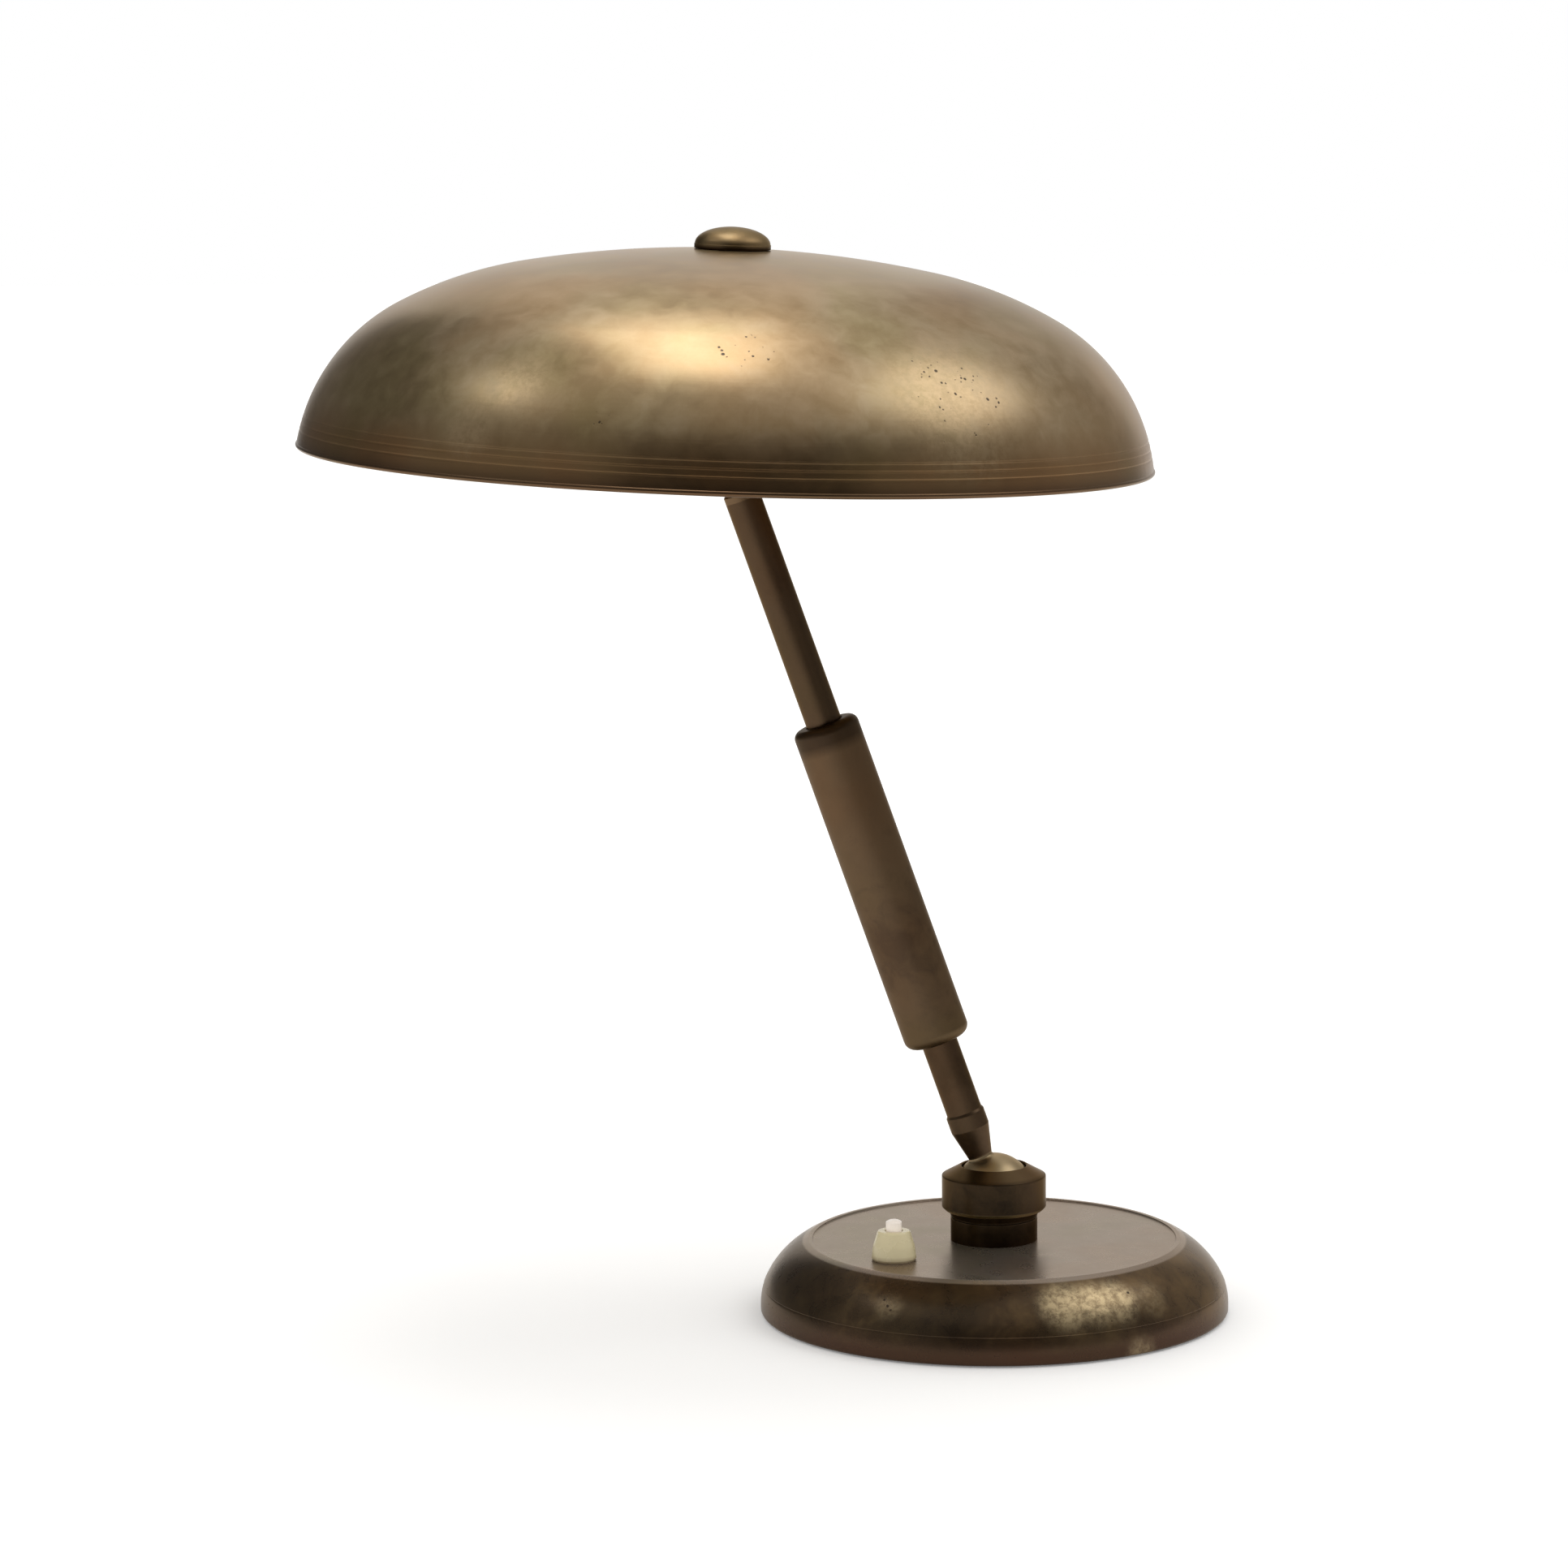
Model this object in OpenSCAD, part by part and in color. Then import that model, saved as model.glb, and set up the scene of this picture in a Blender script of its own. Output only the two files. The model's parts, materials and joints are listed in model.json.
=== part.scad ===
// Desk lamp with a spun dome shade, a leaning telescopic arm and a weighted round base.
// Millimetres. +Z is up, the arm leans towards -X, the table is at z = 0.

/* [Base] */
// Radius of the plinth band at the foot
base_r = 91.8; // [88:0.1:100]
// Height of the plinth band
band_h = 11; // [10.6:0.1:13]
// How far the shoulder steps in above the band
band_step = 1.2; // [0.8:0.1:2]
// Radius of the bead that ends the band at the foot
foot_bead_r = 1.6; // [1.2:0.1:2.5]
// Gap between the metal foot and the table
foot_gap = 0.6; // [0.4:0.1:1]
// Height of the crown, where the shoulder ends
crown_h = 29.6; // [28:0.1:34]
// Radius of the crown
crown_r = 72.9; // [70:0.1:76]
// Radius of the shoulder's round
shoulder_r = 33.1; // [31:0.1:40]
// Width of the crown's narrow edge
crown_w = 1.6; // [1:0.1:3]
// Depth of the flat disc below the crown
disc_drop = 0.6; // [0.4:0.1:1.5]
// Thickness of the spun brass of the base
shell_t = 1; // [0.8:0.1:1.4]

/* [Base filling] */
// Thickness of the felt
felt_t = 2; // [1.8:0.1:3]
// Thickness of the steel bottom plate
plate_t = 1.2; // [1:0.1:2]
// Space between the bottom plate's edge and the band's wall
plate_edge_gap = 4.3; // [4.1:0.1:6]
// How far the cast iron weight's edge lies inside the bottom plate's edge
iron_inset = 1; // [0.5:0.1:4]
// Height of the cast iron weight above the bottom plate
iron_h = 16.8; // [16.2:0.1:18]
// Radius of the boss that carries the disc and the pedestal
boss_r = 34; // [30:0.5:38]
// Radius of the pocket for the pedestal's nut
nut_pocket_r = 17; // [16:0.5:20]
// Depth of the pocket for the pedestal's nut
nut_pocket_h = 14; // [13:0.1:15]
// Width and height of the channels for the flex
channel_w = 9; // [8:0.5:10]
// Gap between the cast iron weight and the shell
weight_gap = 0.6; // [0.3:0.1:1]
// Number of screws in the bottom plate
screw_count = 3; // [3:1:6]
// Angle of the first screw, from the right
screw_turn = 45; // [40:1:50]
// Radius of the circle that the screws stand on
screw_circle_r = 66; // [62:0.5:70]
// Radius of a screw's shank
screw_r = 2; // [1.5:0.1:2.2]
// Radius of a screw's head
screw_head_r = 3.6; // [3.2:0.1:4.2]
// Height of a screw's head
screw_head_h = 1.5; // [1:0.1:1.7]
// Length of a screw's shank
screw_len = 12; // [8:0.5:14]
// Radius of the flex inside the base
flex_r = 1.8; // [1.4:0.1:2]

/* [Cord inlet] */
// Bore radius of the cord bush
inlet_bore_r = 3.2; // [2.8:0.1:3.4]
// Outer radius of the cord bush
inlet_r = 4.4; // [4:0.1:4.6]
// Radius of the bush's flange
inlet_flange_r = 5; // [4.8:0.1:5.2]
// Thickness of the bush's flange
inlet_flange_t = 2; // [1:0.1:3]
// Length of the bush inside the wall
inlet_tail = 3; // [2:0.1:3.2]
// Height of the bush's axis above the table
inlet_z = 6.4; // [6.3:0.1:6.6]

/* [Pedestal] */
// Radius of the pedestal
pedestal_r = 17; // [16.8:0.1:18]
// Height of the pedestal's plain drum above the disc
drum_h = 9; // [8.5:0.1:10]
// Depth and height of the groove above the drum
drum_groove = 0.6; // [0.4:0.1:1]
// Height of the light bevelled collar above the groove
collar_h = 2.4; // [2:0.1:3]
// How far the bevelled collar spreads towards its top
collar_flare = 0.6; // [0.3:0.1:0.8]
// Radius of the threaded head inside the cap
head_r = 18.4; // [18.2:0.1:18.8]
// Height of the threaded head
head_h = 6; // [5:0.1:6.5]
// Thickness of the pedestal's floor
pedestal_floor = 2.5; // [2:0.1:3.5]
// Bore radius of the pedestal
pedestal_bore_r = 13.6; // [13:0.1:14]
// Radius of the threaded stem
stem_r = 6.5; // [6:0.1:7]
// Bore radius of the stem
stem_bore_r = 4.2; // [3.5:0.1:4.6]
// How far the stem stands out of its nut
stem_tail = 1; // [0.5:0.1:1.4]
// Height of the nut on the stem
stem_nut_h = 4; // [3.5:0.1:4.5]
// Corner radius of the nut on the stem
stem_nut_r = 11; // [10:0.1:13]
// Thickness of the washer on the stem
stem_washer_t = 1.2; // [1:0.1:2]
// Radius of the washer on the stem
stem_washer_r = 13.5; // [12:0.1:15]

/* [Base joint] */
// Radius of the arm's lower ball
ball_r = 16; // [15.6:0.1:16.4]
// Height of the ball's centre above the disc
ball_rise = 18.1; // [17.8:0.1:18.6]
// Outer radius of the screwed cap
cap_r = 20.4; // [20:0.1:23]
// Height of the cap's side
cap_side_h = 13.6; // [12:0.1:15]
// Height of the cap's sloping top
cap_slope_h = 4; // [3.4:0.1:4.4]
// Radius of the opening in the cap
cap_mouth_r = 12.7; // [12.4:0.1:13.4]
// Width of the narrow rim round the cap's opening
cap_rim = 0.4; // [0.2:0.1:0.8]
// Bevel at the cap's lower edge
cap_bevel = 1.2; // [0.6:0.1:1.4]
// Height of the friction cup under the ball
cup_h = 5.4; // [4.6:0.1:6]
// Radius of the flare under the ball, where the flex comes up
flare_r = 6; // [5:0.1:7]
// Height of the spring under the friction cup
cup_spring_h = 2.2; // [1.6:0.1:2.4]
// Lean of the arm from upright
arm_lean = 19.25; // [0:0.25:28]

/* [Arm] */
// Radius of the neck above the ball
neck_r = 4.8; // [4:0.1:5]
// Distance from the ball's centre to the neck's collar
neck_len = 28; // [26:0.5:32]
// Radius of the collar
collar_r = 7.65; // [7.4:0.05:9]
// Length of the collar
collar_len = 7; // [4:0.5:8]
// Length of the bevel between the collar and the rod
collar_bevel = 1; // [0.5:0.1:2]
// Bore radius through the ball and the neck
neck_bore_r = 2.6; // [2:0.1:3]
// Outer radius of the rods
rod_r = 7.05; // [6.8:0.05:7.3]
// Wall of the rods
rod_t = 1.25; // [1:0.05:1.6]
// Length of the spigots in the rods' ends
spigot_len = 11; // [8:0.5:14]
// Distance from the lower ball's centre to the sleeve
sleeve_from = 64.6; // [58:0.1:68]
// Length of the sleeve
sleeve_len = 133.3; // [128:0.1:150]
// Outer radius of the sleeve
sleeve_r = 13; // [12.6:0.1:15]
// Wall of the sleeve
sleeve_t = 1.2; // [1:0.1:1.5]
// Round of the sleeve's closed lower end
sleeve_foot_round = 4; // [3:0.1:4.5]
// Round of the sleeve's open upper end
sleeve_lip_round = 0.6; // [0.3:0.1:0.8]
// Room left in the sleeve at each end of the slide
slide_spare = 0.5; // [0.3:0.1:1]
// How deep the guide sits inside the sleeve's mouth
mouth_recess = 1; // [0.5:0.1:2]
// Length of the plug that holds the lower rod
plug_len = 7.2; // [6:0.1:9]
// How far the upper rod slides in from rest
travel_in = 45; // [30:1:46]
// How far the upper rod slides out from rest
travel_out = 35; // [20:1:36]
// Length of the slide ring inside the sleeve
slide_ring_len = 8; // [6:0.5:10]
// Length of the shoulder and of the nut that trap the slide ring
stop_len = 3; // [2:0.5:4]
// Radius of the shoulder and of the nut that trap the slide ring
stop_r = 9.5; // [9:0.1:10.5]

/* [Shade joint] */
// Distance between the two ball centres
arm_reach = 309.7; // [300:0.1:318]
// Radius of the upper ball
top_ball_r = 11; // [10.8:0.1:11.2]
// Radius of the neck below the upper ball
top_neck_r = 4; // [3.6:0.1:4.1]
// Bore radius through the upper ball
top_bore_r = 2.2; // [1.8:0.1:2.4]
// Distance from the upper rod's end to the upper ball's centre
top_drop = 19.7; // [19:0.1:22]
// Length of the plain collar on the upper rod's end
top_collar_len = 2.5; // [1.5:0.1:3.5]
// Length of the taper from that collar to the neck
top_taper_len = 4; // [3:0.1:5]
// Radius of the retaining ring's opening
ring_mouth_r = 9.6; // [9.4:0.1:9.8]
// Outer radius of the retaining ring
ring_r = 17.2; // [16.8:0.1:18]
// Depth of the retaining ring below the ball's centre
ring_drop = 7.6; // [7.4:0.1:8]
// Width of the bevel round the retaining ring's opening
ring_bevel = 1.6; // [1:0.1:2]
// Height from the ball's centre to the friction cup
top_cup_z = 5.6; // [5.2:0.1:6]
// Height of the friction cup above the ball
top_cup_h = 7; // [6.5:0.1:7.5]
// Height of the spring above the friction cup
top_spring_h = 2.4; // [2:0.1:3]
// Tilt of the shade from level
shade_tilt = 2.46; // [-10:0.01:10]

/* [Lamp hub] */
// Outer radius of the hub
hub_r = 16; // [15.6:0.1:17]
// Radius of the hub's thread inside the retaining ring
hub_thread_r = 14.9; // [14.6:0.1:15.2]
// Length of the hub's thread on each side of the ball's centre
thread_depth = 2; // [1.5:0.1:2.5]
// Radius of the holes for the flex in the hub and the friction cup
hub_hole_r = 4.2; // [3.5:0.1:4.6]
// Thickness of the floor between the joint and the wiring space
hub_floor = 2; // [1.5:0.1:3]
// Height of the wiring space
hub_room_h = 10.4; // [10.2:0.1:14]
// Wall of the wiring space
hub_wall = 3.6; // [3:0.1:4.5]
// Thickness of the hub's lid
lid_t = 2.6; // [2:0.1:4]
// Radius of the threaded tubes that join hub, lampholders and shade
tube_r = 4.9; // [4.5:0.1:5]
// Bore radius of the threaded tubes
tube_bore_r = 3; // [2.5:0.1:3.4]

/* [Lampholders] */
// Radius of a lampholder's skirt
holder_r = 13.5; // [12.5:0.1:15]
// Radius of a lampholder's neck
holder_neck_r = 9.5; // [8:0.1:11]
// Length of a lampholder's neck
holder_neck_len = 8; // [6:0.5:10]
// Length of a lampholder's skirt
holder_len = 26; // [24:0.5:30]
// Bore radius of the skirt
holder_bore_r = 9; // [8.4:0.1:10]
// Thickness of the floor between the neck and the skirt's bore
holder_floor_t = 3; // [2:0.1:4]
// How far a threaded nipple reaches into its lampholder
nipple_grip = 6; // [4:0.1:7]
// Radius of the hole for the flex in a lampholder
holder_hole_r = 1.5; // [1:0.1:2]
// Radius of a bulb's screw cap
bulb_cap_r = 6.9; // [6.5:0.1:7]
// Length of a bulb's screw cap
bulb_cap_len = 19; // [17:0.5:20]
// Wall of a bulb's screw cap
bulb_cap_t = 1; // [0.6:0.1:1.2]
// Radius of the contact at the end of a bulb's screw cap
bulb_tip_r = 3; // [2.5:0.1:4]
// Height of that contact
bulb_tip_h = 1.2; // [0.8:0.1:2]
// How deep the glass sits in the screw cap
glass_grip = 2.9; // [2:0.1:4]
// Radius of a bulb
bulb_r = 22.5; // [18:0.5:23]
// Distance from a bulb's screw cap to the centre of its round
bulb_neck_len = 28; // [26:0.5:32]
// Thickness of the glass
glass_t = 0.8; // [0.6:0.1:1]

/* [Shade] */
// Radius of the shade at the rim
shade_r = 164.3; // [150:0.1:175]
// Thickness of the spun brass of the shade
shade_t = 0.8; // [0.6:0.1:1.2]
// Radius of the flat arc over the crown
crown_arc_r = 435; // [380:5:500]
// Angle at which the crown arc ends
crown_arc_end = 10.6; // [8:0.1:12]
// Radius of the middle arc
middle_arc_r = 156; // [140:1:170]
// Angle at which the middle arc ends
middle_arc_end = 28.9; // [26:0.1:32]
// Angle at which the side arc ends and the straight skirt starts
side_arc_end = 80.2; // [76:0.1:82]
// Length of the straight skirt
skirt_len = 3.5; // [1:0.1:6]
// Radius of the bead round the rim
rim_bead_r = 1.1; // [0.9:0.1:1.6]
// Height of the lowest turned groove above the rim
groove_from = 6; // [4:0.1:8]
// Distance between the turned grooves
groove_pitch = 3; // [2:0.1:4]
// Number of turned grooves
groove_count = 3; // [1:1:4]
// Radius of a turned groove
groove_r = 0.4; // [0.3:0.1:0.6]
// How far the rim hangs below the upper ball's centre
shade_drop = 2; // [0:0.1:4]
// Radius of the knob on top
knob_r = 14.7; // [12:0.1:18]
// Height of the knob's straight edge
knob_edge_h = 1.8; // [1:0.1:3]
// How far the knob's dome steps in above the edge
knob_step = 0.5; // [0.2:0.1:1]
// Height of the knob
knob_h = 8.4; // [7:0.1:12]
// How far the threaded tube reaches into the knob
stud_grip = 4.3; // [3:0.1:5]
// Radius of the washer under the shade's top
shade_washer_r = 11; // [9:0.1:14]
// Thickness of the washer under the shade's top
shade_washer_t = 1.2; // [1:0.1:2]
// Height of the nut under the shade's top
shade_nut_h = 4.5; // [4:0.1:6]
// Corner radius of the nut under the shade's top
shade_nut_r = 8.6; // [8:0.1:10]

/* [Switch] */
// Switch position to the left of the pedestal
switch_x = 40; // [37:0.5:44]
// Switch position in front of the pedestal
switch_y = 34; // [32:0.5:38]
// Radius of the switch nut at the disc
bell_r = 8.7; // [8:0.1:10]
// Radius of the switch nut at its top
bell_top_r = 6.2; // [5.8:0.1:7]
// How far the switch nut's side bulges out
bell_belly = 0.6; // [0.2:0.1:0.8]
// Height of the switch nut
bell_h = 11.4; // [10.6:0.1:13]
// Round of the switch nut's upper edge
bell_round = 1; // [0.5:0.1:1.4]
// Thickness of the switch nut's top
bell_top_t = 3.4; // [2.5:0.1:3.6]
// Radius of the button
button_r = 3.15; // [2.8:0.05:3.4]
// How far the button stands above the switch nut
button_rise = 4.4; // [4:0.1:6]
// How far the button travels
button_travel = 2.5; // [1.5:0.1:2.6]
// Height of the round on the button's top
button_dome_h = 1; // [0.5:0.1:1.5]
// Thickness of the button's flange under the nut's roof
flange_h = 1.6; // [1.2:0.1:2]
// Radius of the button's stem
button_stem_r = 2; // [1.6:0.1:2.2]
// How far the button's stem reaches into the switch body
button_stem_grip = 2; // [1:0.1:3]
// Radius of the switch's threaded tube
switch_tube_r = 5; // [4.8:0.1:5.4]
// How far the threaded tube stands above the disc
switch_tube_rise = 1.4; // [1:0.1:1.6]
// Radius of the switch body
switch_body_r = 9.2; // [8:0.1:9.6]
// Height of the switch body
switch_body_h = 12.5; // [12:0.1:13]
// How far the threaded tube reaches into the switch body
switch_tube_grip = 1.5; // [1:0.1:2]
// Radius of a terminal under the switch body
terminal_r = 1.5; // [1:0.1:1.8]
// Length of a terminal
terminal_h = 2.2; // [1.5:0.1:2.5]
// Corner radius of the switch's lock nut
lock_nut_r = 8.6; // [7.5:0.1:9]
// Height of the switch's lock nut
lock_nut_h = 3; // [2.5:0.1:3.4]
// Turns of the switch's return spring
spring_turns = 4; // [3:1:4]
// Wire thickness of the switch's return spring
spring_wire = 0.5; // [0.35:0.05:0.6]

/* [Fits] */
// Gap between a thread and its nut
thread_gap = 0.05; // [0.02:0.01:0.1]
// Radial gap between a rod and its guide
guide_gap = 0.07; // [0.03:0.01:0.1]
// Gap round the screws of the bottom plate, and above and below a piece that is only laid in
loose_gap = 0.2; // [0.1:0.01:0.3]
// Gap round a spring washer and the hole in it
spring_gap = 1; // [0.5:0.1:1.4]
// Gap round a ball, a friction cup and other moving pieces
swing_gap = 0.3; // [0.25:0.01:0.35]

/* [Hidden] */
// Names of the sub-parts
// Sub-part to draw, or all of them
// Segments of round shapes
$fn = 96;
// Overlap of a cut past the face that it opens
cut = 1;
// Overlap of two shapes that make one piece
join = 0.1;

// Brass with its brown patina, and the other finishes
patina = "#7a623f";
dark_patina = "#40301f";
bare_brass = "#b0915a";
steel = "#8c8f92";
iron = "#3b3b3c";
bakelite = "#2b1f18";
cream = "#d8ccae";

// Base: heights of the filling, of the disc and of the band
plate_z = felt_t;
iron_z = felt_t + plate_t;
iron_top_z = iron_z + iron_h;
disc_z = crown_h - disc_drop;
band_top_z = foot_gap + band_h;
bead_z = foot_gap + foot_bead_r;
plate_r = base_r - shell_t - plate_edge_gap;
iron_r = plate_r - iron_inset;
switch_at = [-switch_x, -switch_y, disc_z];
switch_pocket_r = switch_body_r + cut;
switch_angle = atan2(switch_y, switch_x);

// Centre of the circle of radius r through p and q, on the left of the way from p to q
function arc_centre(p, q, r) =
    let (d = q - p, l = norm(d))
    (p + q) / 2 + [-d[1], d[0]] / l * sqrt(r * r - l * l / 4);

shoulder_c = arc_centre([base_r - band_step, band_top_z], [crown_r, crown_h], shoulder_r);

// Pedestal: heights of its steps, and the ball's centre
drum_z = disc_z + drum_h;
collar_z = drum_z + drum_groove;
head_z = collar_z + collar_h;
ball_z = disc_z + ball_rise;
ball_seat_r = ball_r + swing_gap;
pedestal_floor_z = disc_z + pedestal_floor;
stem_washer_z = iron_z + nut_pocket_h - stem_washer_t;
stem_nut_z = stem_washer_z - stem_nut_h;
cup_z = pedestal_floor_z + cup_spring_h + swing_gap;
cap_top_z = head_z + cap_side_h + cap_slope_h;

// Arm, measured along its axis from the lower ball's centre
collar_end = neck_len + collar_len;
rod_bore_r = rod_r - rod_t;
sleeve_bore_r = sleeve_r - sleeve_t;
sleeve_to = sleeve_from + sleeve_len;
plug_from = sleeve_from + sleeve_foot_round;
plug_to = plug_from + plug_len;
rod_end = plug_to + slide_spare + travel_in;
slide_ring_from = rod_end + stop_len + swing_gap;
shoulder_from = slide_ring_from + slide_ring_len + swing_gap;
guide_from = shoulder_from + stop_len + travel_out + slide_spare;
guide_to = sleeve_to - mouth_recess;
upper_rod_to = arm_reach - top_drop;

// Upper ball's centre, the origin of the shade and all that it carries
pivot = [-arm_reach * sin(arm_lean), 0, ball_z + arm_reach * cos(arm_lean)];
top_seat_r = top_ball_r + swing_gap;
hub_bore_r = top_seat_r + thread_gap;
top_spring_z = top_cup_z + top_cup_h + swing_gap;
hub_floor_z = top_spring_z + top_spring_h;
hub_room_z = hub_floor_z + hub_floor;
hub_top_z = hub_room_z + hub_room_h;
lid_top_z = hub_top_z + lid_t;
holder_z = hub_room_z + hub_room_h / 2;

// Lampholders, measured along their axis from the hub's axis
holder_from = hub_r;
skirt_from = holder_from + holder_neck_len;
skirt_to = skirt_from + holder_len;
nipple_to = holder_from + nipple_grip;
holder_floor_to = skirt_from + holder_floor_t;
bulb_cap_from = holder_floor_to + bulb_tip_h;
bulb_cap_to = bulb_cap_from + bulb_cap_len;
bulb_centre = bulb_cap_to + bulb_neck_len;

// Shade: centres of its arcs, from the crown down, in the plane of its section
function dir(a) = [sin(a), cos(a)];
side_arc_r = (shade_r - crown_arc_r * sin(crown_arc_end)
    - middle_arc_r * (sin(middle_arc_end) - sin(crown_arc_end)) - skirt_len * cos(side_arc_end))
    / (sin(side_arc_end) - sin(middle_arc_end));
shade_h = crown_arc_r * (1 - cos(crown_arc_end))
    + middle_arc_r * (cos(crown_arc_end) - cos(middle_arc_end))
    + side_arc_r * (cos(middle_arc_end) - cos(side_arc_end)) + skirt_len * sin(side_arc_end);
shade_top_z = shade_h - shade_drop;
crown_c = [0, shade_top_z - crown_arc_r];
middle_c = crown_c + (crown_arc_r - middle_arc_r) * dir(crown_arc_end);
side_c = middle_c + (middle_arc_r - side_arc_r) * dir(middle_arc_end);
skirt_p = side_c + side_arc_r * dir(side_arc_end);

// Height of the inside of the crown at radius r
function crown_inside_z(r) = crown_c[1] + sqrt(pow(crown_arc_r - shade_t, 2) - r * r);
shade_washer_z = crown_inside_z(shade_washer_r) - shade_washer_t;
shade_nut_z = shade_washer_z - shade_nut_h;
stud_top_z = shade_top_z + stud_grip;

// Switch, measured up from the disc
bell_roof = bell_h - bell_top_t;
flange_top = bell_roof - swing_gap;
flange_r = switch_tube_r - swing_gap;
flange_under = flange_top - flange_h;
spring_from = switch_tube_rise + join;
spring_to = flange_under - join;
switch_body_top = -shell_t - lock_nut_h - loose_gap;
switch_body_from = switch_body_top - switch_body_h;
button_stem_end = switch_body_top - button_stem_grip;
terminal_x = switch_body_r / 2;
terminal_z = switch_body_from - terminal_h;

// Places a child on the arm's axis, with the lower ball's centre as the origin
module on_arm() {
    translate([0, 0, ball_z]) rotate([0, -arm_lean, 0]) children();
}

// Places a child in the shade's frame, with the upper ball's centre as the origin
module in_shade() {
    translate(pivot) rotate([0, shade_tilt, 0]) children();
}

// Places a child on a lampholder's axis: side is -1 in front, 1 behind
module on_holder(side) {
    in_shade() translate([0, 0, holder_z]) rotate([-90 * side, 0, 0]) children();
}

// Places a child at the switch, on the disc's surface
module at_switch() {
    translate(switch_at) children();
}

// Cylinder from z = from to z = to
module bar(r, from, to) {
    translate([0, 0, from]) cylinder(r = r, h = to - from);
}

// Hollow cylinder from z = from to z = to
module tube(r, bore, from, to) {
    difference() {
        bar(r, from, to);
        bar(bore, from - cut, to + cut);
    }
}

// Hexagonal nut on a thread
module hex_nut(corner_r, thread_r, from, to) {
    difference() {
        translate([0, 0, from]) cylinder(r = corner_r, h = to - from, $fn = 6);
        bar(thread_r + thread_gap, from - cut, to + cut);
    }
}

// Domed spring washer that stands h high
module disc_spring(r, hole, from, h) {
    sheet = 0.8;
    rotate_extrude()
        polygon([[hole, from], [r, from + h - sheet], [r, from + h], [hole, from + sheet]]);
}

// Section of the base, full down to the foot's bead: inset is the depth below the outer skin
module base_section(inset) {
    intersection() {
        translate(shoulder_c) circle(r = shoulder_r - inset);
        translate([0, bead_z]) square([base_r - inset, crown_h - bead_z]);
    }
    translate([0, bead_z]) square([base_r - inset, band_top_z - bead_z - inset]);
    translate([0, bead_z]) square([shoulder_c[0], crown_h - bead_z]);
}

module base_shell() color(patina) difference() {
    rotate_extrude() {
        difference() {
            base_section(0);
            intersection() {
                base_section(shell_t);
                square([base_r, disc_z - shell_t]);
            }
            translate([0, disc_z]) square([crown_r - crown_w, crown_h]);
        }
        translate([base_r - foot_bead_r, bead_z]) circle(r = foot_bead_r);
    }
    bar(stem_r + swing_gap, 0, crown_h + cut);
    at_switch() bar(switch_tube_r + thread_gap, -2 * shell_t, cut);
    translate([0, base_r, inlet_z]) rotate([-90, 0, 0])
        bar(inlet_r + thread_gap, -shell_t - inlet_tail - cut, cut);
}

module base_weight() color(iron) difference() {
    union() {
        bar(boss_r, iron_z, disc_z - shell_t);
        rotate_extrude() intersection() {
            base_section(shell_t + weight_gap);
            translate([0, iron_z]) square([iron_r, iron_h]);
        }
    }
    bar(stem_r + swing_gap, 0, crown_h);
    bar(nut_pocket_r, 0, iron_z + nut_pocket_h);
    translate([-switch_x, -switch_y, 0]) bar(switch_pocket_r, 0, crown_h);
    translate([-channel_w / 2, 0, 0]) cube([channel_w, base_r, iron_z + channel_w]);
    rotate([0, 0, 180 + switch_angle]) translate([0, -channel_w / 2, 0])
        cube([norm([switch_x, switch_y]), channel_w, iron_z + channel_w]);
    on_screws() bar(screw_r + thread_gap, 0, iron_z + screw_len + cut);
}

// Places a child at each screw of the bottom plate
module on_screws() {
    for (i = [0 : screw_count - 1])
        rotate([0, 0, i * 360 / screw_count + screw_turn]) translate([screw_circle_r, 0, 0]) children();
}

module base_plate() color(steel) difference() {
    bar(plate_r, plate_z, iron_z);
    on_screws() bar(screw_r + loose_gap, 0, iron_z + cut);
}

module base_felt() color("#3f4a2e") difference() {
    bar(plate_r, 0, felt_t);
    on_screws() bar(screw_head_r + loose_gap, -cut, felt_t + cut);
}

module plate_screws() color(steel) on_screws() {
    slot_w = 0.8;
    slot_h = 0.7;
    difference() {
        union() {
            bar(screw_head_r, plate_z - screw_head_h, plate_z);
            bar(screw_r, plate_z - join, iron_z + screw_len);
        }
        translate([-screw_head_r - cut, -slot_w / 2, plate_z - screw_head_h - cut])
            cube([2 * (screw_head_r + cut), slot_w, cut + slot_h]);
    }
}

module cord_bush() color(bakelite)
    translate([0, base_r, inlet_z]) rotate([-90, 0, 0]) difference() {
        union() {
            bar(inlet_r, -shell_t - inlet_tail, inlet_flange_t);
            bar(inlet_flange_r, thread_gap, inlet_flange_t);
        }
        bar(inlet_bore_r, -shell_t - inlet_tail - cut, inlet_flange_t + cut);
    }

module pedestal() color(dark_patina) difference() {
    union() {
        bar(pedestal_r, disc_z, drum_z);
        bar(pedestal_r - drum_groove, drum_z - join, collar_z + join);
        translate([0, 0, collar_z])
            cylinder(r1 = pedestal_r, r2 = pedestal_r + collar_flare, h = collar_h);
        bar(head_r, head_z, head_z + head_h);
        bar(stem_r, stem_nut_z - stem_tail, disc_z + join);
    }
    bar(pedestal_bore_r, pedestal_floor_z, head_z + head_h + cut);
    translate([0, 0, ball_z]) sphere(r = ball_seat_r);
    bar(stem_bore_r, 0, ball_z);
}

module pedestal_washer() color(steel)
    tube(stem_washer_r, stem_r + swing_gap, stem_washer_z, stem_washer_z + stem_washer_t);

module pedestal_nut() color(steel)
    hex_nut(stem_nut_r, stem_r, stem_nut_z, stem_washer_z);

module cup_spring() color(steel)
    disc_spring(pedestal_bore_r - spring_gap, flare_r + spring_gap, pedestal_floor_z, cup_spring_h);

module friction_cup() color(bare_brass) difference() {
    bar(pedestal_bore_r - swing_gap, cup_z, cup_z + cup_h);
    translate([0, 0, ball_z]) sphere(r = ball_seat_r);
}

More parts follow.
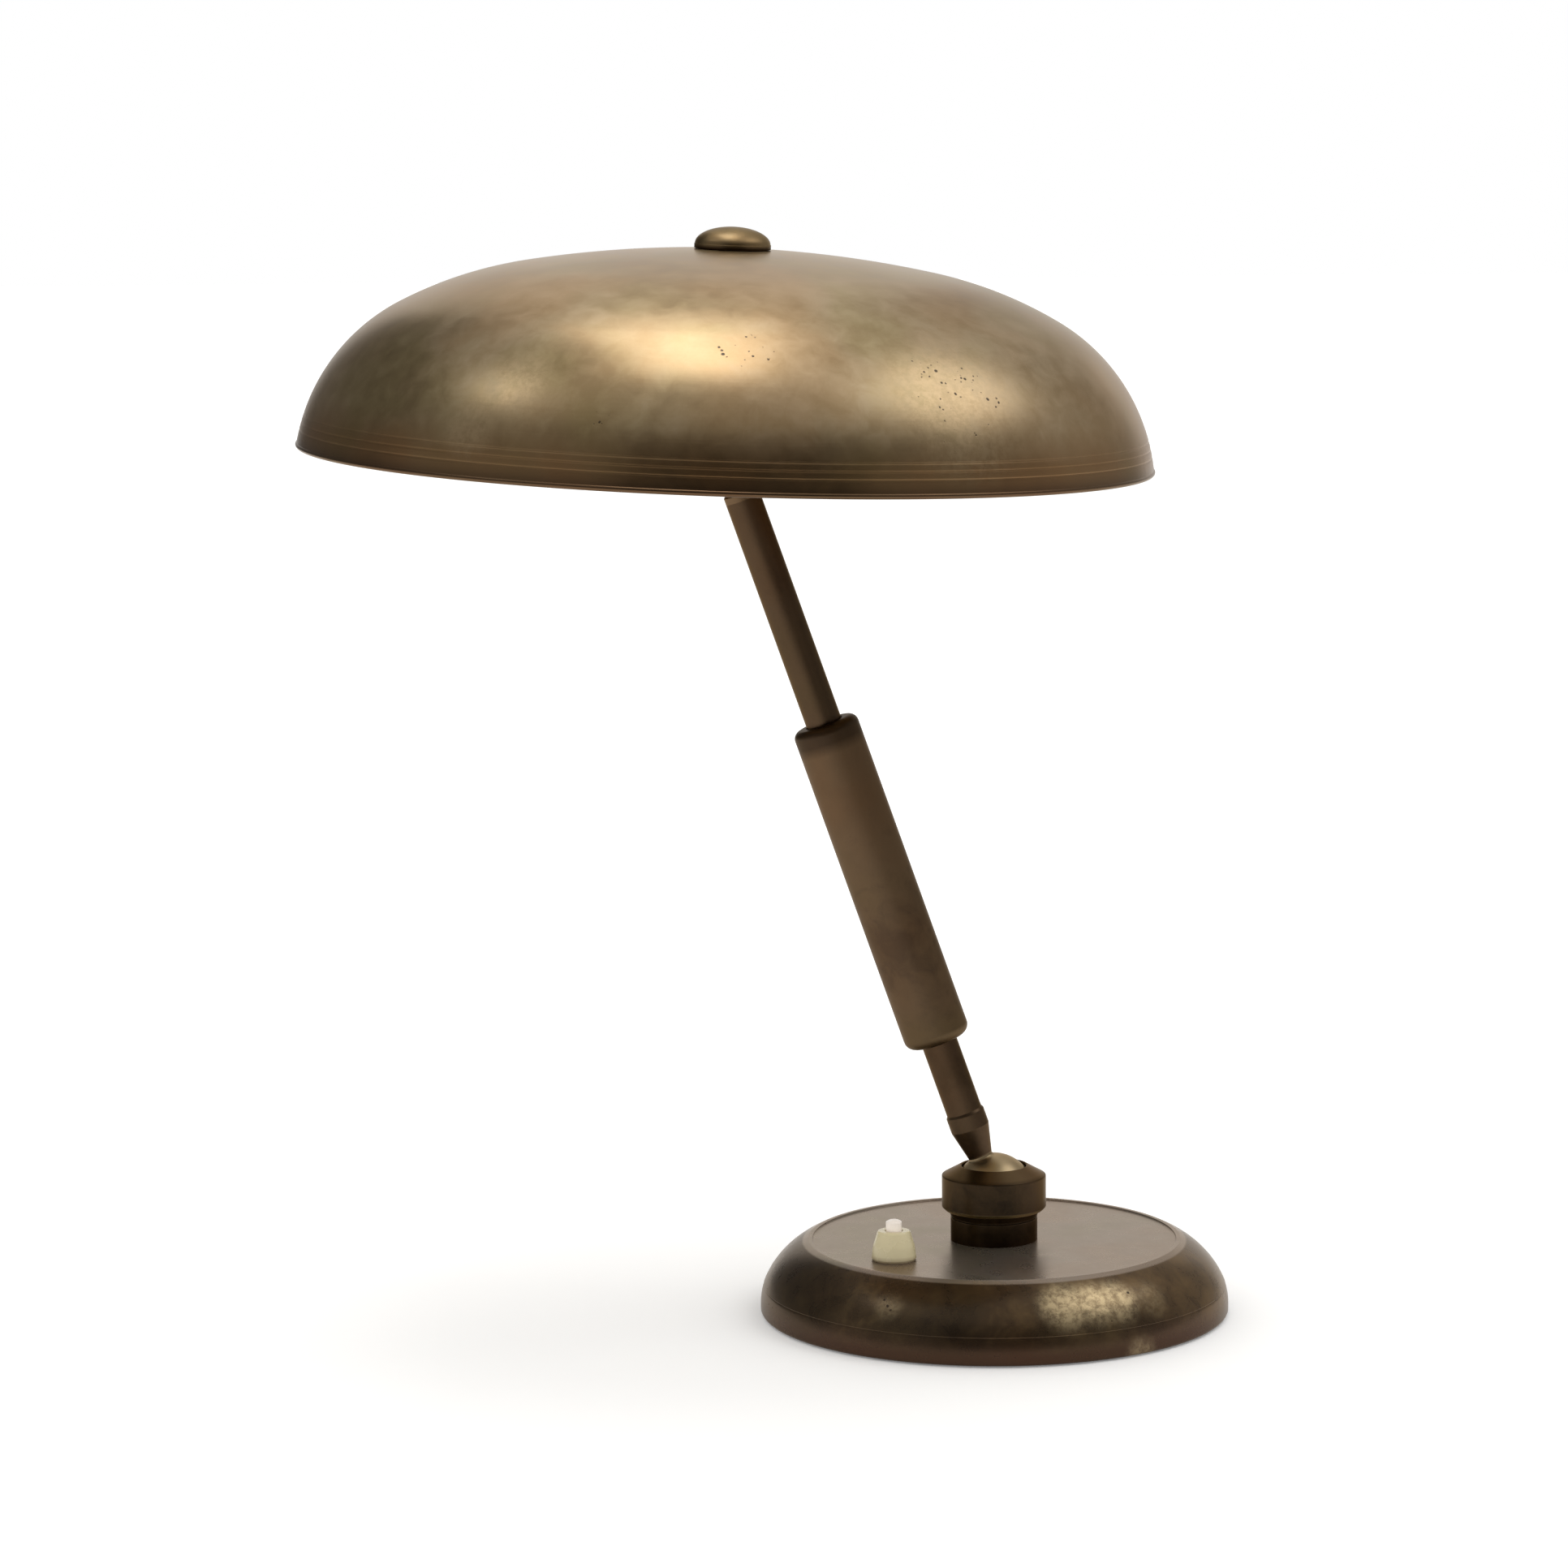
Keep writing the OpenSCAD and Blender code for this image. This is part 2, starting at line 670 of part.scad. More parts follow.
module ball_cap() color(dark_patina) difference() {
    rotate_extrude() polygon([
        [0, head_z], [cap_r - cap_bevel, head_z], [cap_r, head_z + cap_bevel],
        [cap_r, head_z + cap_side_h], [cap_mouth_r + cap_rim, cap_top_z], [0, cap_top_z]
    ]);
    bar(head_r + thread_gap, head_z - cut, head_z + head_h + loose_gap);
    translate([0, 0, ball_z]) sphere(r = ball_seat_r);
    bar(cap_mouth_r, ball_z, cap_top_z + cut);
}

module switch_nut() color(cream) at_switch() difference() {
    foot_h = 0.8;
    foot_in = 0.4;
    waist = [(bell_r + bell_top_r) / 2 + bell_belly, bell_h / 2];
    rotate_extrude() {
        polygon([
            [0, 0], [bell_r - foot_in, 0], [bell_r, foot_h], waist,
            [bell_top_r, bell_h - bell_round], [bell_top_r - bell_round, bell_h], [0, bell_h]
        ]);
        translate([bell_top_r - bell_round, bell_h - bell_round]) circle(r = bell_round);
    }
    bar(switch_tube_r + thread_gap, -cut, bell_roof);
    bar(button_r + swing_gap, 0, bell_h + cut);
}

module switch_tube() color(bare_brass) at_switch()
    tube(switch_tube_r, button_stem_r + swing_gap, switch_body_top - switch_tube_grip,
        switch_tube_rise);

module switch_lock_nut() color(bare_brass) at_switch()
    hex_nut(lock_nut_r, switch_tube_r, -shell_t - lock_nut_h, -shell_t);

module switch_body() color(bakelite) at_switch() difference() {
    bar(switch_body_r, switch_body_from, switch_body_top);
    bar(switch_tube_r + thread_gap, switch_body_top - switch_tube_grip, switch_body_top + cut);
    bar(button_stem_r + swing_gap, button_stem_end - button_travel - cut, switch_body_top);
}

module switch_terminals() color(bare_brass) at_switch()
    for (side = [-1, 1]) rotate([0, 0, switch_angle]) translate([side * terminal_x, 0, 0])
        bar(terminal_r, terminal_z, switch_body_from);

// Coil whose level section is a short arc, as long as the wire is thick when it climbs
module switch_spring() color(steel) at_switch() {
    spring_h = spring_to - spring_from;
    mid_r = (button_stem_r + switch_tube_r) / 2;
    half = 180 * spring_wire * spring_turns / spring_h;
    angles = [for (i = [-2 : 2]) i / 2 * half];
    translate([0, 0, spring_from])
        linear_extrude(height = spring_h, twist = -360 * spring_turns,
            slices = 18 * spring_turns, $fn = 8)
            polygon([
                for (a = angles) (mid_r + spring_wire / 2) * [cos(a), sin(a)],
                for (a = angles) (mid_r - spring_wire / 2) * [cos(-a), sin(-a)]
            ]);
}

module switch_button() color("#e6d9c9") at_switch() {
    button_top = bell_h + button_rise;
    round_r = (button_r * button_r + button_dome_h * button_dome_h) / (2 * button_dome_h);
    bar(button_stem_r, button_stem_end, flange_under + join);
    bar(flange_r, flange_under, flange_top);
    intersection() {
        bar(button_r, flange_top - join, button_top);
        translate([0, 0, button_top - round_r]) sphere(r = round_r);
    }
}

// Flex from the switch's terminals to the pedestal's stem
module base_flex() color("#2a2522") {
    flex_z = iron_z + channel_w / 2;
    run = norm([switch_x, switch_y]) - terminal_x;
    bar(flex_r, flex_z - flex_r, disc_z);
    rotate([0, 0, 180 + switch_angle]) {
        translate([0, 0, flex_z]) rotate([0, 90, 0]) cylinder(r = flex_r - join, h = run);
        translate([run, 0, 0]) bar(flex_r, flex_z - flex_r, disc_z + terminal_z);
    }
}

// Turned piece with the lower ball, its neck and the collar that the rod stands on
module ball_stem() color(patina) on_arm() difference() {
    union() {
        sphere(r = ball_r);
        rotate_extrude() polygon([
            [0, 0], [neck_r, 0], [neck_r, ball_r], [collar_r, neck_len],
            [collar_r, collar_end - collar_bevel],
            [rod_r, collar_end], [rod_bore_r - thread_gap, collar_end],
            [rod_bore_r - thread_gap, collar_end + spigot_len], [0, collar_end + spigot_len]
        ]);
    }
    bar(neck_bore_r, -ball_r - cut, collar_end + spigot_len + cut);
    translate([0, 0, -ball_r]) cylinder(r1 = flare_r, r2 = neck_bore_r, h = ball_r / 2);
}

module lower_rod() color(dark_patina) on_arm()
    tube(rod_r, rod_bore_r, collar_end, plug_to);

module sleeve_plug() color(bare_brass) on_arm()
    tube(sleeve_bore_r - thread_gap, rod_r + thread_gap, plug_from, plug_to);

// Section of the sleeve, with its closed round foot and its open lip
module sleeve_section(inset, top) {
    side_from = sleeve_from + sleeve_foot_round;
    foot_x = sleeve_r - sleeve_foot_round;
    translate([0, side_from]) square([sleeve_r - inset, top - side_from]);
    translate([foot_x, side_from]) circle(r = sleeve_foot_round - inset);
    translate([0, sleeve_from + inset]) square([foot_x, sleeve_foot_round]);
}

module sleeve() color(patina) on_arm() rotate_extrude() difference() {
    union() {
        sleeve_section(0, sleeve_to - sleeve_lip_round);
        translate([sleeve_r - sleeve_lip_round, sleeve_to - sleeve_lip_round])
            circle(r = sleeve_lip_round);
        translate([0, sleeve_to - 2 * sleeve_lip_round])
            square([sleeve_r - sleeve_lip_round, 2 * sleeve_lip_round]);
    }
    sleeve_section(sleeve_t, sleeve_to + cut);
    translate([0, sleeve_from - cut]) square([rod_r + thread_gap, sleeve_foot_round]);
}

module sleeve_guide() color(bare_brass) on_arm()
    tube(sleeve_bore_r - thread_gap, rod_r + guide_gap, guide_from, guide_to);

module slide_ring() color(bare_brass) on_arm()
    tube(sleeve_bore_r - swing_gap, rod_r + guide_gap, slide_ring_from,
        slide_ring_from + slide_ring_len);

module rod_shoulder() color(steel) on_arm()
    tube(stop_r, rod_r + thread_gap, shoulder_from, shoulder_from + stop_len);

module rod_end_nut() color(steel) on_arm()
    tube(stop_r, rod_r + thread_gap, rod_end, rod_end + stop_len);

module upper_rod() color(dark_patina) on_arm()
    tube(rod_r, rod_bore_r, rod_end, upper_rod_to);

// Turned piece with the upper ball, its neck and the spigot in the upper rod
module top_ball() color(patina) on_arm() difference() {
    union() {
        translate([0, 0, arm_reach]) sphere(r = top_ball_r);
        rotate_extrude() polygon([
            [0, upper_rod_to - spigot_len], [rod_bore_r - thread_gap, upper_rod_to - spigot_len],
            [rod_bore_r - thread_gap, upper_rod_to], [rod_r, upper_rod_to],
            [rod_r, upper_rod_to + top_collar_len],
            [top_neck_r, upper_rod_to + top_collar_len + top_taper_len],
            [top_neck_r, arm_reach], [0, arm_reach]
        ]);
    }
    bar(top_bore_r, upper_rod_to - spigot_len - cut, arm_reach + top_ball_r + cut);
}

module top_cup() color(bare_brass) in_shade() difference() {
    tube(hub_bore_r - swing_gap, hub_hole_r, top_cup_z, top_cup_z + top_cup_h);
    sphere(r = top_seat_r);
}

module top_spring() color(steel) in_shade()
    disc_spring(hub_bore_r - swing_gap, hub_hole_r + spring_gap, top_spring_z, top_spring_h);

module retaining_ring() color(dark_patina) in_shade() difference() {
    bar(ring_r, -ring_drop, thread_depth);
    bar(hub_thread_r + thread_gap, -thread_depth, thread_depth + cut);
    sphere(r = top_seat_r);
    bar(ring_mouth_r, -ring_drop - cut, 0);
    translate([0, 0, -ring_drop - join])
        cylinder(r1 = ring_mouth_r + ring_bevel, r2 = ring_mouth_r, h = ring_bevel / 2);
}

module hub() color(dark_patina) in_shade() difference() {
    union() {
        bar(hub_thread_r, -thread_depth + loose_gap, thread_depth + join);
        bar(hub_r, thread_depth, hub_top_z);
    }
    bar(hub_bore_r, -thread_depth - cut, hub_floor_z);
    bar(hub_hole_r, 0, hub_top_z);
    bar(hub_r - hub_wall, hub_room_z, hub_top_z + cut);
    translate([0, 0, holder_z]) rotate([90, 0, 0])
        cylinder(r = tube_r + thread_gap, h = 2 * (hub_r + cut), center = true);
}

module hub_lid() color(dark_patina) in_shade() difference() {
    bar(hub_r, hub_top_z, lid_top_z);
    bar(tube_r + thread_gap, hub_top_z - cut, lid_top_z + cut);
}

module shade_stud() color(bare_brass) in_shade()
    tube(tube_r, tube_bore_r, hub_top_z, stud_top_z);

module holder_nipples() color(bare_brass) for (side = [-1, 1]) on_holder(side)
    tube(tube_r, tube_bore_r, hub_r - hub_wall, nipple_to);

module lampholder(side) color(bakelite) on_holder(side) difference() {
    union() {
        bar(holder_neck_r, holder_from, skirt_from + join);
        bar(holder_r, skirt_from, skirt_to);
    }
    bar(tube_r + thread_gap, holder_from - cut, nipple_to + loose_gap);
    bar(holder_hole_r, holder_from, skirt_to);
    bar(holder_bore_r, holder_floor_to, skirt_to + cut);
}

module screw_shell(side) color(bare_brass) on_holder(side)
    tube(holder_bore_r - thread_gap, bulb_cap_r + thread_gap, holder_floor_to, bulb_cap_to);

module bulb_cap(side) color("#c9b27a") on_holder(side) difference() {
    union() {
        bar(bulb_cap_r, bulb_cap_from, bulb_cap_to);
        bar(bulb_tip_r, holder_floor_to, bulb_cap_from + join);
    }
    bar(bulb_cap_r - bulb_cap_t, bulb_cap_to - glass_grip - loose_gap, bulb_cap_to + cut);
}

// Glass envelope, open where it stands in the screw cap
module bulb_glass(side) color("#f4efe4") on_holder(side) {
    throat_r = bulb_cap_r - bulb_cap_t - thread_gap;
    throat_from = bulb_cap_to - glass_grip;
    // The neck runs into the round where the round has turned by this angle
    meet = 42;
    throat_to = bulb_centre - bulb_r * cos(meet);
    wide_r = bulb_r * sin(meet);
    difference() {
        union() {
            translate([0, 0, bulb_centre]) sphere(r = bulb_r);
            translate([0, 0, bulb_cap_to])
                cylinder(r1 = throat_r, r2 = wide_r, h = throat_to - bulb_cap_to);
            bar(throat_r, throat_from, bulb_cap_to + join);
        }
        translate([0, 0, bulb_centre]) sphere(r = bulb_r - glass_t);
        translate([0, 0, bulb_cap_to])
            cylinder(r1 = throat_r - glass_t, r2 = wide_r - glass_t, h = throat_to - bulb_cap_to);
        bar(throat_r - glass_t, throat_from - cut, bulb_cap_to + join);
    }
}

module shade_nut() color(bare_brass) in_shade()
    hex_nut(shade_nut_r, tube_r, shade_nut_z, shade_washer_z);

module shade_washer() color(bare_brass) in_shade()
    tube(shade_washer_r, tube_r + loose_gap, shade_washer_z, shade_washer_z + shade_washer_t);

// Sheet of thickness shade_t that follows an arc about c from angle a to angle b.
// It starts a little early, inside the sheet before it, so that the two join.
module arc_sheet(c, r, a, b) {
    far = 1.2 * r;
    lap = 0.4;
    start = max(a - lap, 0);
    intersection() {
        translate(c) difference() {
            circle(r = r, $fn = 180);
            circle(r = r - shade_t, $fn = 180);
        }
        polygon([c, c + far * dir(start), c + far * dir(b)]);
    }
}

module shade() color(patina) in_shade() difference() {
    rotate_extrude($fn = 180) difference() {
        union() {
            arc_sheet(crown_c, crown_arc_r, 0, crown_arc_end);
            arc_sheet(middle_c, middle_arc_r, crown_arc_end, middle_arc_end);
            arc_sheet(side_c, side_arc_r, middle_arc_end, side_arc_end);
            translate(skirt_p) rotate(90 - side_arc_end)
                translate([-shade_t, -skirt_len]) square([shade_t, skirt_len]);
            translate([shade_r - shade_t / 2, rim_bead_r - shade_drop]) circle(r = rim_bead_r);
        }
        for (i = [0 : groove_count - 1]) {
            groove_z = groove_from + i * groove_pitch - shade_drop;
            groove_x = side_c[0] + sqrt(pow(side_arc_r, 2) - pow(groove_z - side_c[1], 2));
            translate([groove_x, groove_z]) circle(r = groove_r);
        }
    }
    bar(tube_r + loose_gap, 0, shade_top_z + cut);
}

module top_knob() color(patina) in_shade() {
    dome_edge_r = knob_r - knob_step;
    dome_h = knob_h - knob_edge_h;
    dome_r = (dome_edge_r * dome_edge_r + dome_h * dome_h) / (2 * dome_h);
    translate([0, 0, shade_top_z]) difference() {
        union() {
            bar(knob_r, 0, knob_edge_h);
            intersection() {
                translate([0, 0, knob_h - dome_r]) sphere(r = dome_r);
                bar(knob_r, knob_edge_h - join, knob_h + cut);
            }
        }
        bar(tube_r + thread_gap, -cut, stud_grip + loose_gap);
    }
}

base_shell();
base_weight();
base_plate();
base_felt();
plate_screws();
cord_bush();
pedestal();
pedestal_washer();
pedestal_nut();
cup_spring();
friction_cup();
ball_cap();
switch_nut();
switch_tube();
switch_lock_nut();
switch_body();
switch_terminals();
switch_spring();
switch_button();
base_flex();
ball_stem();
lower_rod();
sleeve_plug();
sleeve();
sleeve_guide();
slide_ring();
rod_shoulder();
rod_end_nut();
upper_rod();
top_ball();
top_cup();
top_spring();
retaining_ring();
hub();
hub_lid();
shade_stud();
holder_nipples();
lampholder(-1);  // lampholder_front
lampholder(1);  // lampholder_back
screw_shell(-1);  // screw_shell_front
screw_shell(1);  // screw_shell_back
bulb_cap(-1);  // bulb_cap_front
bulb_cap(1);  // bulb_cap_back
bulb_glass(-1);  // bulb_glass_front
bulb_glass(1);  // bulb_glass_back
shade_nut();
shade_washer();
shade();
top_knob();
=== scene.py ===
"""Dome shade desk lamp: turned and spun brass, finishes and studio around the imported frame."""

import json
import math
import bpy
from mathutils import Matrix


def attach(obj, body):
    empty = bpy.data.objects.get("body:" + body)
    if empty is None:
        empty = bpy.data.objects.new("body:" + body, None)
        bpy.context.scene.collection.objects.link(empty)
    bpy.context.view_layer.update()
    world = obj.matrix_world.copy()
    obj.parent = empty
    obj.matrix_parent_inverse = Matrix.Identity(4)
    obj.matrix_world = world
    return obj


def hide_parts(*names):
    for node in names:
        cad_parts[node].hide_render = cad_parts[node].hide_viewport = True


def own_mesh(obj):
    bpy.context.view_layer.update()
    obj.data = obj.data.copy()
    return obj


bl_info = {
    "name": "Dome Shade Desk Lamp",
    "version": (1, 0, 0),
    "blender": (4, 5, 0),
    "location": "View3D > Sidebar > Desk Lamp",
    "description": "Dresses the packed desk lamp with its turned pieces, its finishes and a studio",
    "category": "Add Mesh",
}

from types import SimpleNamespace

import bmesh
import bpy
from bpy.props import FloatProperty, FloatVectorProperty, IntProperty, PointerProperty
from bpy.types import Operator, Panel, PropertyGroup
from mathutils import Matrix, Vector

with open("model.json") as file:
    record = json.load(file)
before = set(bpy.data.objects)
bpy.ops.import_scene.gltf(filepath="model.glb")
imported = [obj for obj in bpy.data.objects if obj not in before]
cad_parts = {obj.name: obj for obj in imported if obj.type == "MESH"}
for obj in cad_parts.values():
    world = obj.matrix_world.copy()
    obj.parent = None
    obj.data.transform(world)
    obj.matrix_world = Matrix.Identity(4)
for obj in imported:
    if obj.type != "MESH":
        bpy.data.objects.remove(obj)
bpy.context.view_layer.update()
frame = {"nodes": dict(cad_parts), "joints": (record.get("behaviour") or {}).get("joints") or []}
joints = {joint["name"]: joint for joint in frame["joints"]}

MM = 0.001
SHARP_EDGE = math.radians(40)
# Sides of the narrower turned pieces, and of the drill
TUBE_FACETS, NUT_FACETS, BUTTON_FACETS, DRILL_FACETS = 128, 96, 64, 48


def seat(joint_name, axis):
    """Place of a turned piece whose origin is a joint's centre and whose axis points along axis."""
    turn = Vector((0, 0, 1)).rotation_difference(Vector(axis)).to_matrix().to_4x4()
    return Matrix.Translation(joints[joint_name]["pos_m"]) @ turn


ON_BASE = Matrix.Identity(4)
ON_ARM = seat("arm_tilt", joints["arm_extend"]["axis"])
ON_SHADE = seat("shade_spin", joints["shade_spin"]["axis"])
ON_SWITCH = Matrix.Translation((-40 * MM, -34 * MM, 29 * MM))


def linear(code):
    """Linear colour of an sRGB hex value."""
    parts = [int(code[i:i + 2], 16) / 255 for i in (1, 3, 5)]
    return [p / 12.92 if p <= 0.04045 else ((p + 0.055) / 1.055) ** 2.4 for p in parts]


def with_alpha(colour):
    return (*colour, 1.0)


def per_mm(size):
    """Texture scale at which one feature is size millimetres wide."""
    return 1 / (size * MM)


def length(name, description, millimetres):
    return FloatProperty(
        name=name, description=description, default=millimetres * MM, min=0, unit="LENGTH")


def tint(name, description, code):
    return FloatVectorProperty(
        name=name, description=description, default=linear(code), min=0, max=1, subtype="COLOR")


class LampSizes(PropertyGroup):
    """Sizes of what is turned, spun and rounded."""

    shade_radius: length("Shade Radius", "Outside of the skirt at the rim", 164.8)
    shade_sheet: length("Shade Sheet", "Thickness of the spun sheet", 0.8)
    crown_arc: length("Crown Arc", "Radius of the shade's flat crown", 435)
    middle_arc: length("Middle Arc", "Radius of the shade between crown and side", 156)
    skirt: length("Skirt", "Straight length above the rim", 3.5)
    rim_bead: length("Rim Bead", "Radius of the rolled rim", 1.1)
    rim_drop: length("Rim Drop", "How far the rim hangs under the joint's centre", 2.7)
    groove: length("Groove", "Depth of each turned groove above the rim", 0.4)
    groove_pitch: length("Groove Pitch", "Distance between two grooves", 3)
    groove_first: length("First Groove", "Height of the lowest groove above the joint's centre", 4)
    knob_radius: length("Knob Radius", "Outside of the top knob", 14.7)
    knob_height: length("Knob Height", "Height of the top knob", 8.4)
    base_radius: length("Base Radius", "Outside of the base's band", 91.8)
    base_sheet: length("Base Sheet", "Thickness of the base's spun sheet", 1)
    crown_height: length("Crown Height", "Height of the base's crown", 29.6)
    crown_radius: length("Crown Radius", "Where the base's crown meets its shoulder", 72.9)
    shoulder_arc: length("Shoulder Arc", "Radius of the base's round shoulder", 33.1)
    ball_radius: length("Ball Radius", "The arm's lower ball", 16)
    rod_radius: length("Rod Radius", "Outside of both rods", 7.05)
    sleeve_radius: length("Sleeve Radius", "Outside of the arm's sleeve", 13)
    sleeve_lip: length("Sleeve Lip", "Round of the lip, spun in over the rod's guide", 3.4)
    edge: length("Edge Round", "Round left on a turned edge by the polishing wheel", 0.35)
    facets: IntProperty(
        name="Facets", description="Sides of a wide turned piece", default=256, min=32, max=512)


class LampColours(PropertyGroup):
    """Colours of the finishes, as they look in plain daylight."""

    brass: tint("Brass", "Bare brass where the patina has worn off", "#c6ab83")
    thin_patina: tint("Thin Patina", "The shade's patina where it is thin", "#bba583")
    patina: tint("Patina", "The shade's brown patina over brass", "#aa926c")
    deep_patina: tint("Deep Patina", "The shade's patina where it is thick", "#967d57")
    skirt_patina: tint("Skirt Patina", "Warm patina above the shade's rim", "#917149")
    rim_painted_shade: tint("Rim Patina", "Grime and patina along the shade's rim", "#5a4126")
    # The rim's darkening is painted shade along the rim
    knob_patina: tint("Knob Patina", "The top knob's patina", "#8a7655")
    base_thin: tint("Thin Base Patina", "The base's patina where it is thin", "#6f5a3b")
    base_patina: tint("Base Patina", "The base's patina", "#4c3b26")
    base_deep: tint("Deep Base Patina", "The base's patina where it is thick", "#38291a")
    # base_rubbed_and_highlight is rubbed patina and also a painted highlight, on the base and the
    # cap
    base_rubbed_and_highlight: tint("Rubbed Base", "The base's patina where hands have rubbed it", "#b7a27c")
    band_patina: tint("Band Patina", "The base's patina along its band", "#3e2614")
    tube_patina: tint("Tube Patina", "The sleeve's patina", "#655039")
    tube_deep: tint("Deep Tube Patina", "The sleeve's patina where it is thick", "#513f2d")
    # The ball's light tan is rubbed brass and a painted reflection
    ball_rubbed_and_sheen: tint("Rubbed Ball", "The lower ball, rubbed by its seat", "#b09b79")
    # The disc's grey is a painted reflection of the backdrop over the patina
    disc_patina_and_sheen: tint("Disc Patina", "The base's flat disc under its lacquer", "#95887b")
    rod_patina: tint("Rod Patina", "Bronzed brass of the rods", "#4d3b29")
    bronzed: tint("Bronzed", "Bronzed brass of cap and pedestal", "#40301f")
    bronzed_deep: tint("Deep Bronzed", "Bronzed brass in its hollows", "#23190f")
    pit: tint("Pit", "Brown oxide in the pits", "#2a1c10")
    cream: tint("Cream", "Aged cream plastic of the switch's nut", "#d3c69e")
    # cream_dirt_and_shade is soiling in the mottle and painted shade at the nut's foot
    cream_dirt_and_shade: tint("Cream Dirt", "Grime at the foot of the switch's nut", "#9c8a6c")
    ivory: tint("Ivory", "Paler plastic of the switch's button", "#fbf0e4")
    bakelite: tint("Bakelite", "Brown bakelite of the lampholders", "#2b1f18")
    steel: tint("Steel", "Zinc-plated steel", "#9a9c9c")
    iron: tint("Iron", "Cast iron with black stove paint", "#2b2b2c")
    felt: tint("Felt", "Green felt under the base", "#3f4a2e")
    opal: tint("Opal", "Opal glass of the bulbs", "#f1ede4")
    floor: tint("Floor", "Pale floor and backdrop", "#f4f3f1")


def at_hand(scene):
    """The lamp's sizes in millimetres, with its facets, and its finishes by name."""
    group = scene.lamp_sizes
    sizes = SimpleNamespace(**{name: getattr(group, name) / MM for name in group.__annotations__})
    sizes.facets = group.facets
    return sizes, finishes(scene.lamp_colours)


# -------------------------------- meshes

def arc(centre, radius, start, stop, steps):
    """Points on an arc; its angles are in degrees from the upright, growing outwards."""
    angles = [math.radians(start + (stop - start) * i / steps) for i in range(steps + 1)]
    return [(centre[0] + radius * math.sin(a), centre[1] + radius * math.cos(a)) for a in angles]


def rounded(corners, steps=4):
    """Outline through corners (radius, height) or (radius, height, round)."""
    outline = []
    last = len(corners) - 1
    for i, corner in enumerate(corners):
        point = Vector(corner[:2])
        if len(corner) == 2:
            outline.append(tuple(point))
            continue
        before = Vector(corners[i - 1][:2]) - point
        after = Vector(corners[0 if i == last else i + 1][:2]) - point
        half = before.angle(after) / 2
        reach = corner[2] / math.tan(half)
        middle = point + (before.normalized() + after.normalized()).normalized() * (
            corner[2] / math.sin(half))
        first = point + before.normalized() * reach - middle
        final = point + after.normalized() * reach - middle
        for k in range(steps + 1):
            spoke = first.slerp(final, k / steps) * corner[2]
            outline.append((middle.x + spoke.x, middle.y + spoke.y))
    return outline


def flat_ends(outline, longest=1.2, near=0.3):
    """The outline with a point close to each end of every long straight, so rounds shade well."""
    points = []
    for i, (r, z) in enumerate(outline):
        points.append((r, z))
        nxt = outline[(i + 1) % len(outline)]
        run = math.hypot(nxt[0] - r, nxt[1] - z)
        if run > longest and (i + 1 < len(outline) or nxt[0] > 0):
            for share in (near / run, 1 - near / run):
                points.append((r + (nxt[0] - r) * share, z + (nxt[1] - z) * share))
    return points


def into_scene(mesh, name, place):
    """Object in the scene made of a bmesh, which is used up."""
    data = bpy.data.meshes.new(name)
    mesh.to_mesh(data)
    mesh.free()
    made = bpy.data.objects.new(name, data)
    bpy.context.scene.collection.objects.link(made)
    made.matrix_world = place
    return made


def turned(name, outline, place, facets):
    """Closed turned piece from its half section in millimetres: outside first, then the bore.
    A first or last point at radius 0 is a pole; otherwise the section closes on itself."""
    pole = 1e-6
    mesh = bmesh.new()
    rings = []
    for r, z in outline:
        if r < pole:
            rings.append([mesh.verts.new((0, 0, z * MM))])
            continue
        rings.append([
            mesh.verts.new((
                r * MM * math.cos(2 * math.pi * k / facets),
                r * MM * math.sin(2 * math.pi * k / facets),
                z * MM))
            for k in range(facets)
        ])
    pairs = list(zip(rings, rings[1:]))
    if len(rings[0]) > 1 and len(rings[-1]) > 1:
        pairs.append((rings[-1], rings[0]))
    for low, high in pairs:
        for k in range(facets):
            j = (k + 1) % facets
            # A pole's corner comes twice and is taken once
            corners = list(dict.fromkeys(
                ring[side % len(ring)]
                for ring, side in ((low, k), (low, j), (high, j), (high, k))))
            if len(corners) > 2:
                mesh.faces.new(corners).smooth = True
    bmesh.ops.recalc_face_normals(mesh, faces=mesh.faces)
    piece = into_scene(mesh, name, place)
    piece.data.set_sharp_from_angle(angle=SHARP_EDGE)
    return piece


def coil(name, radius, wire, low, high, turns, place):
    """Spring of round wire around the z axis, its ends flush with low and high, in millimetres."""
    mesh = bmesh.new()
    steps, sides = 24 * turns, 8
    rise = (high - low - 2 * wire) / steps
    rings = []
    for k in range(steps + 1):
        turn = math.radians(360 * turns * k / steps)
        ring = []
        for side in range(sides):
            a = math.radians(360 * side / sides)
            out = radius + wire * math.cos(a)
            height = low + wire + rise * k + wire * math.sin(a)
            ring.append(mesh.verts.new((
                out * MM * math.cos(turn), out * MM * math.sin(turn), height * MM)))
        rings.append(ring)
    for below, above in zip(rings, rings[1:]):
        for side in range(sides):
            beside = (side + 1) % sides
            mesh.faces.new((below[side], below[beside], above[beside], above[side])).smooth = True
    mesh.faces.new(rings[0])
    mesh.faces.new(rings[-1])
    bmesh.ops.recalc_face_normals(mesh, faces=mesh.faces)
    return into_scene(mesh, name, place)


